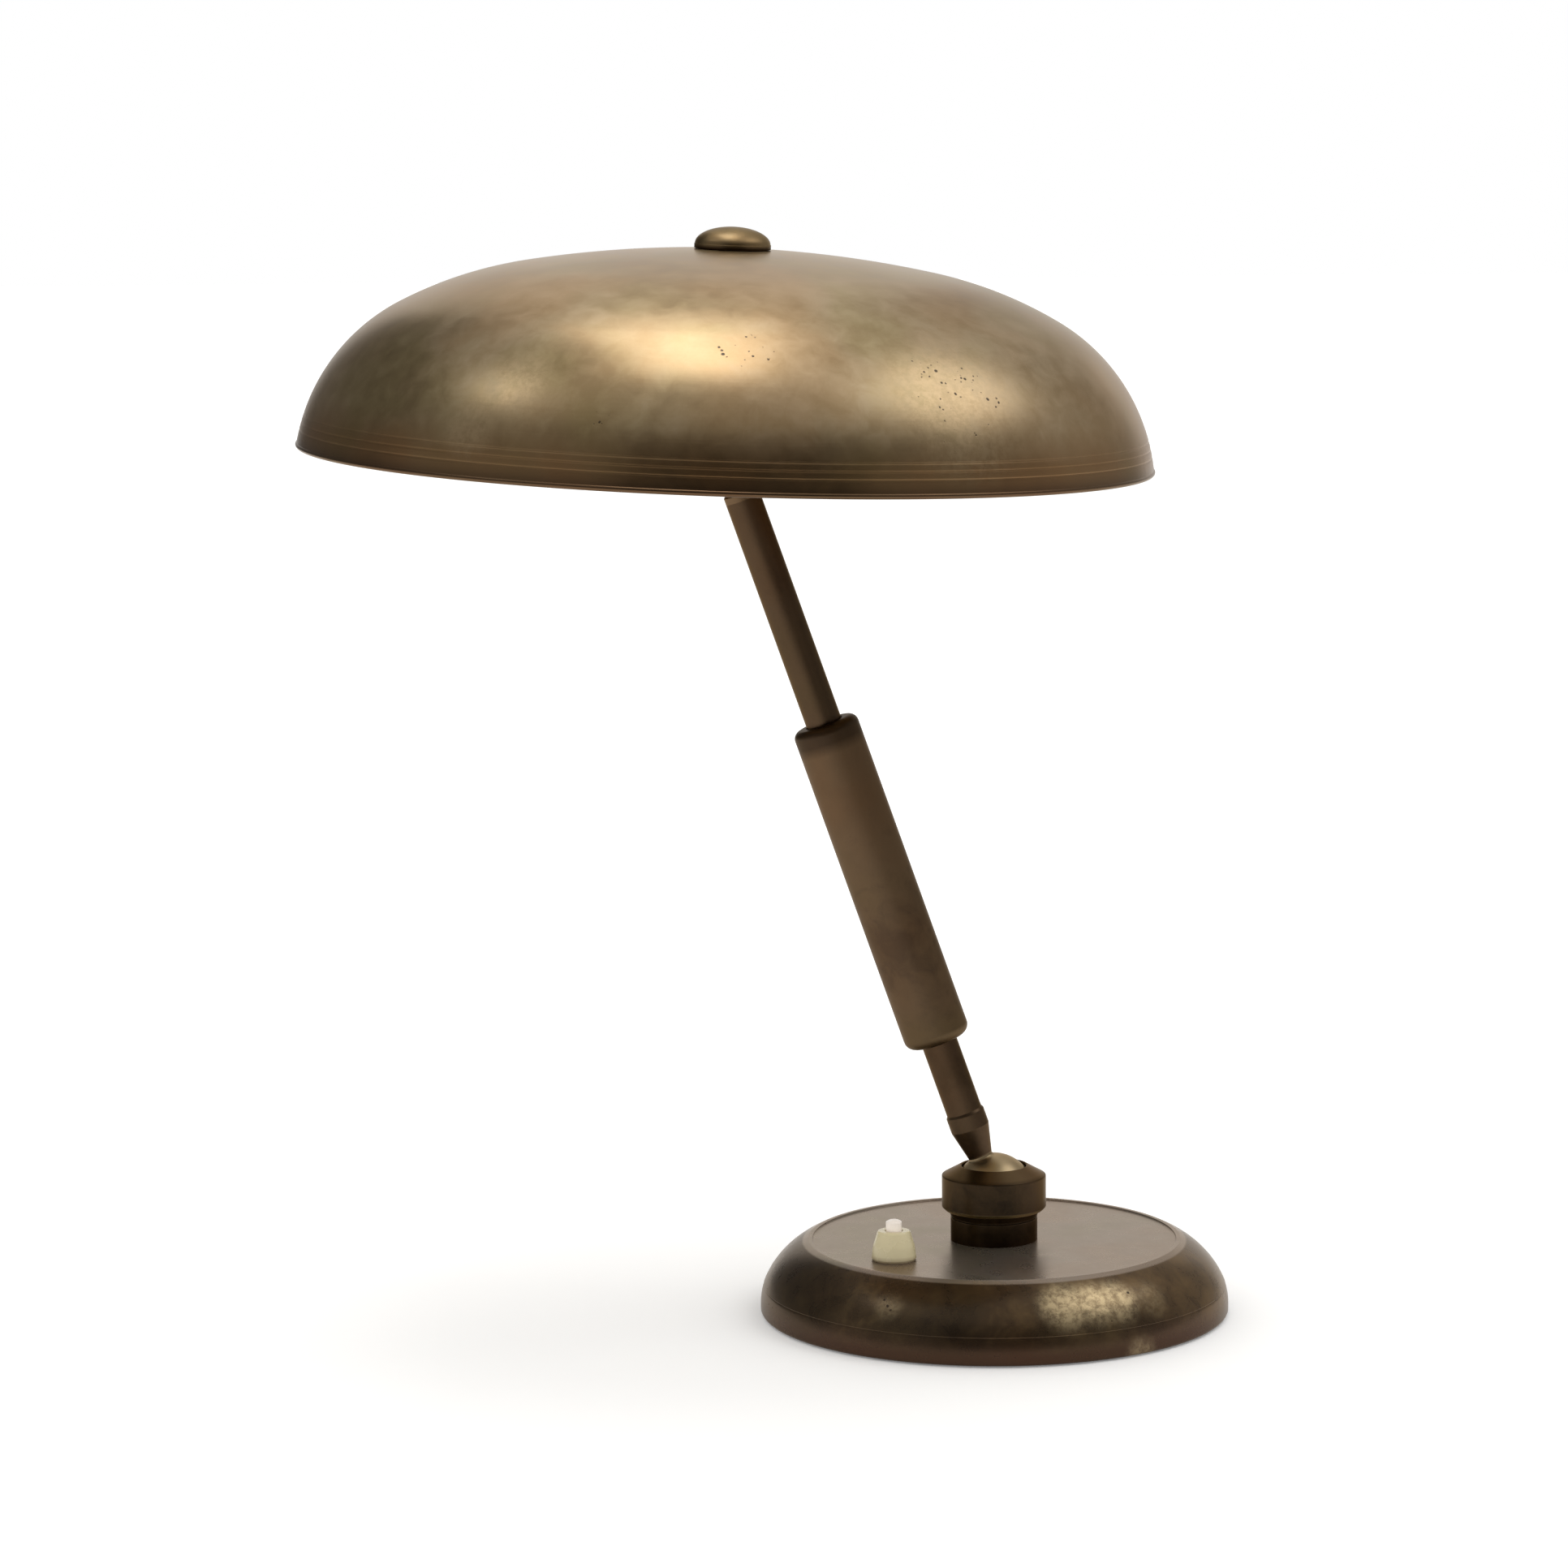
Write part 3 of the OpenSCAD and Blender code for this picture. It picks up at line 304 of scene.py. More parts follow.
def drill(piece, radius, start, stop):
    """Cuts a round hole, from start to stop in the row frame in metres, and keeps the result."""
    along = Vector(stop) - Vector(start)
    turn = Vector((0, 0, 1)).rotation_difference(along).to_matrix().to_4x4()
    hole = rounded([(0, 0), (radius, 0), (radius, along.length / MM), (0, along.length / MM)])
    cutter = turned("drill", hole, Matrix.Translation(start) @ turn, DRILL_FACETS)
    cut = piece.modifiers.new("hole", "BOOLEAN")
    cut.operation = "DIFFERENCE"
    cut.solver = "EXACT"
    cut.object = cutter
    depsgraph = bpy.context.evaluated_depsgraph_get()
    drilled = bpy.data.meshes.new_from_object(piece.evaluated_get(depsgraph))
    piece.modifiers.clear()
    old, piece.data = piece.data, drilled
    drilled.name = piece.name
    drilled.set_sharp_from_angle(angle=SHARP_EDGE)
    bpy.data.meshes.remove(old)
    bpy.data.meshes.remove(cutter.data)


def dress(piece, body, slot, material, *nodes):
    """Sets a piece's finish, lets it ride on its body and stand for its CAD nodes."""
    piece.data.materials.clear()
    piece.data.materials.append(material)
    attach(piece, body)
    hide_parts(*nodes)


def finish_nodes(material, *nodes):
    """Gives CAD nodes that stay their finish."""
    for name in nodes:
        for slot in frame["nodes"][name].material_slots:
            slot.material = material


# -------------------------------- materials

def add_node(tree, kind, inputs=None, stops=None, **settings):
    """Adds a node, sets its properties, and sets or links its inputs."""
    node = tree.nodes.new(kind)
    for name, value in settings.items():
        setattr(node, name, value)
    for name, value in (inputs or {}).items():
        if isinstance(value, bpy.types.NodeSocket):
            tree.links.new(value, node.inputs[name])
        else:
            node.inputs[name].default_value = value
    if stops:
        elements = node.color_ramp.elements
        while len(elements) < len(stops):
            elements.new(0.5)
        for element, (position, colour) in zip(elements, stops):
            element.position = position
            element.color = with_alpha(colour)
    return node


def new_material(name):
    """An empty material, and its tree."""
    material = bpy.data.materials.new(name)
    material.use_nodes = True
    material.node_tree.nodes.clear()
    return material, material.node_tree


# What the patina does to the metal's colour where it turns olive or red, and at grazing angles
OLIVE_CAST, NO_CAST, RED_CAST = (0.94, 0.975, 0.89), (1.0, 1.0, 1.0), (1.0, 0.93, 0.87)
EDGE_TINT = (0.62, 0.53, 0.43)

MIX_FACTOR, MIX_A, MIX_B, MIX_RESULT = 0, 6, 7, 2


def mixed(tree, share, below, above, **settings):
    """Colour socket of one colour mixed over another."""
    return add_node(tree, "ShaderNodeMix", {MIX_FACTOR: share, MIX_A: below, MIX_B: above},
                    data_type="RGBA", **settings).outputs[MIX_RESULT]


def nearness(tree, place, spots):
    """How near a place is to the nearest spot: its strength at its middle, 0 outside them all.
    Each spot is (x, y, z, radius, strength), in millimetres in the piece's own frame."""
    nearest = None
    for *centre, radius, strength in spots:
        away = add_node(tree, "ShaderNodeVectorMath", {
            0: place, 1: Vector(centre) * MM}, operation="DISTANCE")
        near = add_node(tree, "ShaderNodeMapRange", {
            "Value": away.outputs["Value"], "From Min": 0.3 * radius * MM, "From Max": radius * MM,
            "To Min": strength, "To Max": 0.0}, interpolation_type="SMOOTHSTEP").outputs[0]
        nearest = near if nearest is None else add_node(
            tree, "ShaderNodeMath", {0: nearest, 1: near}, operation="MAXIMUM").outputs[0]
    return nearest


def aged_brass(name, thin, patina, deep, bare_and_highlight, pit, roughness, lacquer,
               worn=(), pitted=(), zones=(), metal=1.0):
    """Brass sheet or bar, polished and then browned by acid, under a thin old lacquer.
    The eye sees cloudy brown tones that drift between olive and red, fine dark pits in the
    polish, rubbed spots where the yellow metal comes through, and the lathe's faint rings.
    The rubbed spots are also painted highlights and painted reflections where lamps shine,
    and some zones paint shade, highlights and reflections.
    worn and pitted list spots as nearness takes them. Each zone is (from, to, colour): up the
    piece the finish turns from what it was to that colour between those two heights in mm."""
    _, tree = new_material(name)
    place = add_node(tree, "ShaderNodeTexCoord").outputs["Object"]
    cloud = add_node(tree, "ShaderNodeTexNoise", {
        "Vector": place, "Scale": per_mm(75), "Detail": 3, "Roughness": 0.45})
    drift = add_node(tree, "ShaderNodeTexNoise", {
        "Vector": place, "Scale": per_mm(48), "Detail": 2, "Roughness": 0.45, "Distortion": 0.3})
    mottle = add_node(tree, "ShaderNodeTexNoise", {
        "Vector": place, "Scale": per_mm(9), "Detail": 6, "Roughness": 0.62, "Distortion": 0.4})
    grain = add_node(tree, "ShaderNodeTexNoise", {
        "Vector": place, "Scale": per_mm(1.6), "Detail": 3, "Roughness": 0.6})
    tone = add_node(tree, "ShaderNodeMath", {
        0: mottle.outputs["Fac"], 1: 0.6, 2: cloud.outputs["Fac"]}, operation="MULTIPLY_ADD")
    tone = add_node(tree, "ShaderNodeMapRange", {
        "Value": tone.outputs[0], "From Min": 0.5, "From Max": 1.1})
    toned = add_node(tree, "ShaderNodeValToRGB", {"Fac": tone.outputs[0]}, stops=[
        (0.12, deep), (0.5, patina), (0.9, thin)]).outputs[0]
    height = add_node(tree, "ShaderNodeSeparateXYZ", {"Vector": place}).outputs["Z"]
    for start, stop, zone_colour in zones:
        share = add_node(tree, "ShaderNodeMapRange", {
            "Value": height, "From Min": start * MM, "From Max": stop * MM})
        toned = mixed(tree, share.outputs[0], toned, with_alpha(zone_colour))
    hue = add_node(tree, "ShaderNodeValToRGB", {"Fac": drift.outputs["Fac"]}, stops=[
        (0.36, OLIVE_CAST), (0.5, NO_CAST), (0.64, RED_CAST)])
    toned = mixed(tree, 1.0, toned, hue.outputs[0], blend_type="MULTIPLY")

    # Rubbed spots: the patina is thin inside them, and gone in flakes some 3 mm wide. They are
    # also painted highlights and painted reflections, lighter where lamps would shine.
    if worn:
        flakes = add_node(tree, "ShaderNodeTexNoise", {
            "Vector": place, "Scale": per_mm(3), "Detail": 6, "Roughness": 0.75})
        gone = add_node(tree, "ShaderNodeMapRange", {
            "Value": flakes.outputs["Fac"], "From Min": 0.4, "From Max": 0.6,
            "To Min": 0.28, "To Max": 0.95})
        rubbed = add_node(tree, "ShaderNodeMath", {
            0: nearness(tree, place, worn), 1: gone.outputs[0]}, operation="MULTIPLY")
        toned = mixed(tree, rubbed.outputs[0], toned, with_alpha(bare_and_highlight))

    # Pits: specks about 1 mm wide, in flocks
    specks = add_node(tree, "ShaderNodeTexVoronoi", {"Vector": place, "Scale": per_mm(2.2)})
    flock = add_node(tree, "ShaderNodeTexNoise", {
        "Vector": place, "Scale": per_mm(7), "Detail": 4, "Roughness": 0.6})
    flock = add_node(tree, "ShaderNodeMath", {
        0: nearness(tree, place, pitted) if pitted else 0.0, 1: 0.33, 2: flock.outputs["Fac"]},
        operation="MULTIPLY_ADD")
    reach = add_node(tree, "ShaderNodeMapRange", {
        "Value": flock.outputs[0], "From Min": 0.76, "From Max": 0.98,
        "To Min": 0.0, "To Max": 0.36})
    depth = add_node(tree, "ShaderNodeMath", {
        0: reach.outputs[0], 1: specks.outputs["Distance"]}, operation="SUBTRACT")
    pits = add_node(tree, "ShaderNodeMapRange", {
        "Value": depth.outputs[0], "From Min": 0.0, "From Max": 0.12})
    pit_share = add_node(
        tree, "ShaderNodeMath", {0: pits.outputs[0], 1: 0.8}, operation="MULTIPLY")
    toned = mixed(tree, pit_share.outputs[0], toned, with_alpha(pit))

    # The lathe's rings follow radius plus height, so they stay level on crown and side alike
    flat = add_node(tree, "ShaderNodeVectorMath", {0: place, 1: (1, 1, 0)}, operation="MULTIPLY")
    radius = add_node(tree, "ShaderNodeVectorMath", {0: flat.outputs[0]}, operation="LENGTH")
    along = add_node(tree, "ShaderNodeMath", {
        0: radius.outputs["Value"], 1: height}, operation="SUBTRACT")
    rings = add_node(tree, "ShaderNodeTexNoise", {
        "W": along.outputs[0], "Scale": per_mm(1.8), "Detail": 2, "Roughness": 0.7},
        noise_dimensions="1D")

    rough = add_node(tree, "ShaderNodeMapRange", {
        "Value": mottle.outputs["Fac"], "From Min": 0.3, "From Max": 0.7,
        "To Min": roughness - 0.03, "To Max": roughness + 0.05})
    rough = add_node(tree, "ShaderNodeMath", {
        0: pits.outputs[0], 1: 0.25, 2: rough.outputs[0]}, operation="MULTIPLY_ADD")
    waves = add_node(tree, "ShaderNodeBump", {
        "Height": mottle.outputs["Fac"], "Strength": 0.1, "Distance": 0.1 * MM})
    ringed = add_node(tree, "ShaderNodeBump", {
        "Height": rings.outputs["Fac"], "Strength": 0.2, "Distance": 0.05 * MM,
        "Normal": waves.outputs[0]})
    grained = add_node(tree, "ShaderNodeBump", {
        "Height": grain.outputs["Fac"], "Strength": 0.1, "Distance": 0.05 * MM,
        "Normal": ringed.outputs[0]})
    dented = add_node(tree, "ShaderNodeBump", {
        "Height": pits.outputs[0], "Strength": 0.5, "Distance": 0.12 * MM,
        "Normal": grained.outputs[0]}, invert=True)
    shader = add_node(tree, "ShaderNodeBsdfPrincipled", {
        "Base Color": toned, "Metallic": metal, "Roughness": rough.outputs[0],
        "Normal": dented.outputs[0], "Specular Tint": with_alpha(EDGE_TINT),
        "Coat Weight": lacquer, "Coat Roughness": 0.3})
    add_node(tree, "ShaderNodeOutputMaterial", {"Surface": shader.outputs[0]})


def even_surface(name, grain_mm, noise, tones, roughs, bump, foot=None, **skin):
    """A material whose tone, roughness and relief follow one noise. tones are the ramp's stops,
    roughs the range of roughness, bump the relief's strength and its depth as a share of the
    grain, foot the height in mm under which the piece turns to a colour, with that colour, and
    skin the shader's other inputs, with _ for each space."""
    _, tree = new_material(name)
    place = add_node(tree, "ShaderNodeTexCoord").outputs["Object"]
    grain = add_node(tree, "ShaderNodeTexNoise", {
        "Vector": place, "Scale": per_mm(grain_mm), "Detail": 5, "Roughness": noise}).outputs["Fac"]
    tone = add_node(tree, "ShaderNodeValToRGB", {"Fac": grain}, stops=tones).outputs[0]
    # foot darkens the colour towards the piece's foot: painted shade
    if foot:
        height = add_node(tree, "ShaderNodeSeparateXYZ", {"Vector": place}).outputs["Z"]
        foot_shade = add_node(tree, "ShaderNodeMapRange", {
            "Value": height, "From Min": foot[0] * MM, "From Max": 0.0})
        tone = mixed(tree, foot_shade.outputs[0], tone, with_alpha(foot[1]))
    rough = add_node(tree, "ShaderNodeMapRange", {
        "Value": grain, "From Min": 0.3, "From Max": 0.7, "To Min": roughs[0], "To Max": roughs[1]})
    relief = add_node(tree, "ShaderNodeBump", {
        "Height": grain, "Strength": bump[0], "Distance": bump[1] * grain_mm * MM})
    shader = add_node(tree, "ShaderNodeBsdfPrincipled", {
        "Base Color": tone, "Roughness": rough.outputs[0], "Normal": relief.outputs[0],
        **{key.replace("_", " "): value for key, value in skin.items()}})
    add_node(tree, "ShaderNodeOutputMaterial", {"Surface": shader.outputs[0]})


def plain_metal(name, colour, shadow, roughness, grain_mm):
    """Metal that was rolled, plated or cast and never polished: an even tone with fine grain."""
    even_surface(name, grain_mm, 0.65, [(0.3, shadow), (0.65, colour)],
                 (roughness - 0.08, roughness + 0.08), (0.3, 0.05), Metallic=1.0)


def moulded(name, colour, dirt, roughness, grain_mm, ior=1.5, coat=0.0, clean=0.6, foot=0.0):
    """Moulded or woven stuff without metal: its tone, its soiling and its skin. clean is where
    the noise of the soiling ends; foot is the height in mm under which the piece darkens to the
    dirt colour, as painted shade."""
    even_surface(name, grain_mm, 0.6, [(clean - 0.25, dirt), (clean, colour)],
                 (roughness + 0.08, roughness - 0.05), (0.2, 0.03), (foot, dirt) if foot else None,
                 IOR=ior, Coat_Weight=coat, Coat_Roughness=0.15)


# Spots of the finishes, (x, y, z, radius, strength), in millimetres in the piece's own frame.
# The worn spots are rubbed patina and also painted highlights and painted reflections.
SHADE_WORN_AND_LIT = [(85, -127, 36, 40, 0.86), (-77, -131, 35, 20, 0.68), (-92, -131, 17, 15, 0.5)]
SHADE_PITTED = [
    (85, -127, 36, 42, 1), (7, -136, 46, 26, 1), (-45, -150, 25, 12, 1), (-29, -155, 13, 10, 1)]
BASE_WORN_AND_LIT = [
    (24, -81, 22, 14, 1.25), (35, -77, 22, 13, 1.1), (44, -73, 22, 13, 1), (57, -64, 20, 11, 0.3),
    (53, -75, 1, 9, 0.35), (-43, -74, 20, 8, 0.25)]
BASE_PITTED = [(42, -73, 22, 22, 1), (-43, -74, 20, 9, 1)]


def finishes(c):
    """All finishes of the lamp in its colours c, made once and then found by name."""
    if "spun_brass_patinated" in bpy.data.materials:
        return bpy.data.materials
    # Sheet brass spun over a former and browned: satin, golden brown, pitted where it was handled,
    # with rubbed spots that are also painted highlights
    aged_brass("spun_brass_patinated", c.thin_patina, c.patina, c.deep_patina, c.brass,
               c.pit, 0.31, 0.5, worn=SHADE_WORN_AND_LIT, pitted=SHADE_PITTED,
               # The lowest zone darkens the rim: painted shade
               zones=[(20, 7, c.skirt_patina), (5, -1.5, c.rim_painted_shade)])
    # The same sheet on the base, browner, rubbed at shoulder and foot and dark along its band.
    # The rubbed spots are also painted highlights on the shoulder and a painted reflection on the
    # foot.
    # Its patina is thick enough to scatter some light, and its light grey on the disc is a painted
    # reflection of the backdrop
    aged_brass("spun_brass_base", c.base_thin, c.base_patina, c.base_deep, c.base_rubbed_and_highlight,
               c.pit, 0.28, 0.3, worn=BASE_WORN_AND_LIT, pitted=BASE_PITTED, metal=0.76,
               zones=[(13, 4, c.band_patina), (28.3, 28.7, c.disc_patina_and_sheen)])
    # Bar brass turned on the lathe and bronzed: dark brown, close to black in its hollows
    aged_brass("turned_brass_bronzed", c.bronzed, c.bronzed, c.bronzed_deep, c.patina, c.pit, 0.34,
               0.15)
    # Drawn tube of the rods, bronzed a little lighter
    aged_brass("drawn_brass_bronzed", c.rod_patina, c.rod_patina, c.bronzed, c.patina, c.pit, 0.34,
               0.15)
    # Turned bar on the cap: its lighter brown slope is a painted reflection, and its bright lower
    # bevel a painted highlight
    aged_brass("turned_brass_cap", c.bronzed, c.bronzed, c.bronzed_deep, c.patina, c.pit, 0.34,
               0.15, zones=[(54.4, 55.6, c.tube_patina), (42.6, 41.8, c.base_rubbed_and_highlight)])
    # Turned bar on the knob, browned and handled: duller than the shade, and dark at its foot as a
    # painted shadow
    aged_brass("turned_brass_knob", c.deep_patina, c.knob_patina, c.base_patina, c.brass,
               c.pit, 0.4, 0.2, zones=[(1.6, 0.6, c.bronzed)])
    # Turned bar on the upper ball, browned
    aged_brass("turned_brass_patinated", c.tube_patina, c.tube_patina, c.tube_deep, c.patina,
               c.pit, 0.34, 0.2)
    # The sleeve's tube, dark at its rounded lip as painted shade
    aged_brass("drawn_brass_sleeve", c.tube_patina, c.tube_patina, c.tube_deep, c.patina,
               c.pit, 0.5, 0.2, zones=[(186.5, 191, c.bronzed)])
    # The arm's foot, browned, with the ball lighter: rubbed by its seat and a painted reflection
    aged_brass("turned_brass_ball", c.rod_patina, c.rod_patina, c.bronzed, c.patina,
               c.pit, 0.36, 0.2, zones=[(17, 15, c.ball_rubbed_and_sheen)])
    # Brass left as it came off the lathe: yellow, bright, hardly tarnished
    plain_metal("turned_brass_bare", c.brass, c.patina, 0.3, 4)
    # Steel with a thin zinc plating: grey and dull
    plain_metal("zinc_plated_steel", c.steel, (0.2, 0.2, 0.2), 0.4, 3)
    # Sand-cast iron under black stove paint: coarse and matt
    moulded("cast_iron_painted", c.iron, (0.01, 0.01, 0.01), 0.6, 1.5)
    # Bakelite pressed in a mould: dark brown, slightly marbled, with a hard shine
    moulded("bakelite_moulded", c.bakelite, (0.01, 0.006, 0.004), 0.25, 5, ior=1.6)
    # Urea plastic pressed in a mould, yellowed and soiled, darker at its foot as painted shade:
    # soft shine
    moulded("urea_moulded", c.cream, c.cream_dirt_and_shade, 0.26, 14, ior=1.55, clean=0.4, foot=2.4)
    # The same plastic on the button, kept pale by the finger
    moulded("urea_moulded_pale", c.ivory, c.cream, 0.3, 14, ior=1.55, clean=0.4)
    # Pressed wool felt: matt, with fibres
    moulded("wool_felt", c.felt, (0.02, 0.03, 0.012), 0.9, 0.8)
    # Rubber-sheathed flex: matt black
    moulded("rubber_flex", (0.03, 0.027, 0.025), (0.012, 0.011, 0.01), 0.6, 1.2)
    # Opal glass blown in a mould: milky white with a clear gloss
    moulded("opal_glass_blown", c.opal, (0.8, 0.78, 0.72), 0.12, 14, coat=0.5)
    return bpy.data.materials


# -------------------------------- pieces

def shade_line(s, inset):
    """Half section of one skin of the shade, from the crown down, inset from the outside.
    Returns its points and the height of the outside at the axis."""
    crown_end, middle_end, side_end = 10.6, 28.9, 80.2
    stud_hole, skirt_steps = 5.1, 12
    # Sine and cosine where the crown, the middle and the side end
    (sin_c, cos_c), (sin_m, cos_m), (sin_s, cos_s) = (
        (math.sin(math.radians(a)), math.cos(math.radians(a)))
        for a in (crown_end, middle_end, side_end))
    side_arc = (s.shade_radius - s.crown_arc * sin_c - s.middle_arc * (sin_m - sin_c)
                - s.skirt * cos_s) / (sin_s - sin_m)
    top = (s.crown_arc * (1 - cos_c) + s.middle_arc * (cos_c - cos_m)
           + side_arc * (cos_m - cos_s) + s.skirt * sin_s) - s.rim_drop
    crown_at = Vector((0, top - s.crown_arc))
    middle_at = crown_at + (s.crown_arc - s.middle_arc) * Vector((sin_c, cos_c))
    side_at = middle_at + (s.middle_arc - side_arc) * Vector((sin_m, cos_m))
    hole_end = math.degrees(math.asin(stud_hole / s.crown_arc))
    points = arc(crown_at, s.crown_arc - inset, hole_end, crown_end, 26)
    points += arc(middle_at, s.middle_arc - inset, crown_end, middle_end, 30)[1:]
    # The outside's grooves need its side in fine steps
    points += arc(side_at, side_arc - inset, middle_end, side_end, 50 if inset else 240)[1:]
    r, z = points[-1]
    for k in range(1, skirt_steps + 1):
        share = k / skirt_steps * s.skirt
        points.append((r + share * cos_s, z - share * sin_s))
    return points, top


# The shade's grooves, and the share of their depth that polishing has left
GROOVES, GROOVE_SHARE = 3, 0.3


def grooved(s, point):
    """A point of the shade's outside, pressed in where a groove passes."""
    r, z = point
    half_width = 1.5 * s.groove
    for k in range(GROOVES):
        away = abs(z - s.groove_first - k * s.groove_pitch) / half_width
        if away < 1:
            r -= GROOVE_SHARE * s.groove * (0.5 + 0.5 * math.cos(math.pi * away))
    return r, z


def up_to_bead(points, centre, radius):
    """The points before the line first touches the rim's bead."""
    touch = 1.001 * radius
    for i, point in enumerate(points):
        if (Vector(point) - centre).length < touch:
            return points[:i]
    return points


class DESKLAMP_OT_shade(Operator):
    """Spin the dome shade with its turned grooves and rolled rim"""

    bl_idname = "desk_lamp.shade"
    bl_label = "Dome Shade"

    def execute(self, context):
        s, look = at_hand(context.scene)
        outside, _ = shade_line(s, 0)
        inside, _ = shade_line(s, s.shade_sheet)
        # The bead stands out a little past the skirt, and blends into both skins over some degrees
        past_skirt, blend = 0.15, 8
        bead_at = Vector((s.shade_radius - s.rim_bead + past_skirt, s.rim_bead - s.rim_drop))
        outside = [grooved(s, p) for p in up_to_bead(outside, bead_at, s.rim_bead)]
        inside = up_to_bead(inside, bead_at, s.rim_bead)
        first = math.degrees(math.atan2(*(Vector(outside[-1]) - bead_at)))
        final = math.degrees(math.atan2(*(Vector(inside[-1]) - bead_at)))
        bead = arc(bead_at, s.rim_bead, first + blend, final + 360 - blend, 28)
        piece = turned("dome_shade", outside + bead + inside[::-1], ON_SHADE, s.facets)
        dress(piece, "shade", "patina_brass", look["spun_brass_patinated"], "shade")
        return {"FINISHED"}


class DESKLAMP_OT_knob(Operator):
    """Turn the knob that holds the shade at its top"""

    bl_idname = "desk_lamp.knob"
    bl_label = "Top Knob"

    def execute(self, context):
        s, look = at_hand(context.scene)
        _, top = shade_line(s, 0)
        edge_height, step, bore, bore_depth = 1.8, 0.2, 4.95, 4.5
        rise = s.knob_height - edge_height
        wide = s.knob_radius - step
        dome = [(r * wide, edge_height + z * rise) for r, z in arc((0, 0), 1, 90, 0, 32)]
        dome[-1] = (0, s.knob_height)
        edge = rounded([
            (bore, 0), (s.knob_radius, 0, 0.3), (s.knob_radius, edge_height, 0.1), dome[0]])
        outline = flat_ends(edge[:-1]) + dome + [(0, bore_depth), (bore, bore_depth), (bore, 0.01)]
        place = ON_SHADE @ Matrix.Translation((0, 0, top * MM))
        piece = turned("top_knob_turned", outline, place, TUBE_FACETS)
        dress(piece, "shade", "patina_brass", look["turned_brass_knob"], "top_knob")
        return {"FINISHED"}


class DESKLAMP_OT_base(Operator):
    """Spin the base's shell with its disc, crown, round shoulder, band and foot bead"""

    bl_idname = "desk_lamp.base"
    bl_label = "Base Shell"

    def execute(self, context):
        s, look = at_hand(context.scene)
        band_top, band_step, foot_bead, foot_gap = 11.6, 1.2, 1.6, 0.6
        disc_drop, crown_flat, bore = 0.6, 1.6, 6.8
        start = Vector((s.base_radius - band_step, band_top))
        stop = Vector((s.crown_radius, s.crown_height))
        middle = (start + stop) / 2
        across = (stop - start).normalized()
        sag = math.sqrt(s.shoulder_arc ** 2 - ((stop - start).length / 2) ** 2)
        centre = middle + Vector((-across.y, across.x)) * sag
        disc = s.crown_height - disc_drop
        rim = s.crown_radius - crown_flat
        angle = [math.degrees(math.atan2(*(p - centre))) for p in (stop, start)]
        shoulder = arc(centre, s.shoulder_arc, *angle, 60)
        crown = rounded([
            (bore, disc), (rim, disc, 0.25), (rim, s.crown_height, 0.25), (*stop, 0.5),
            shoulder[2]])
        # The band goes on where the shoulder ends, past a fine line, and turns upright at its foot
        band_low, band_arc, line_drop, line_depth = 4, 23.2, 0.7, 0.08
        band_at = (s.base_radius - band_arc, band_low)
        line = math.degrees(math.acos((band_top - line_drop - band_low) / band_arc))
        band = [(start.x - line_depth, band_top - 0.25)] + arc(band_at, band_arc, line, 90, 16)
        bead = arc((s.base_radius - foot_bead, foot_gap + foot_bead), foot_bead, 90, 262, 14)
        under = arc(centre, s.shoulder_arc - s.base_sheet, angle[1] - 2, angle[0], 40)
        inner = arc(band_at, band_arc - s.base_sheet, 90, line, 10)
        inner += [p for p in under if p[0] < inner[-1][0] - 0.1 and p[1] < disc - s.base_sheet]
        inner += [(inner[-1][0] - 1, disc - s.base_sheet), (bore, disc - s.base_sheet)]
        outline = flat_ends(crown[:-1] + shoulder[3:] + band + bead + inner)
        piece = turned("base_spun", outline, ON_BASE, s.facets)
        # Holes for the switch's tube and, at the back, for the cord's bush
        switch_hole, bush_hole, bush_z = 5.05, 4.45, 6.4 * MM
        x, y, _ = ON_SWITCH.translation
        drill(piece, switch_hole, (x, y, 25 * MM), (x, y, 35 * MM))
        drill(piece, bush_hole, (0, 80 * MM, bush_z), (0, 100 * MM, bush_z))
        dress(piece, "base", "patina_brass", look["spun_brass_base"], "base_shell")
        return {"FINISHED"}


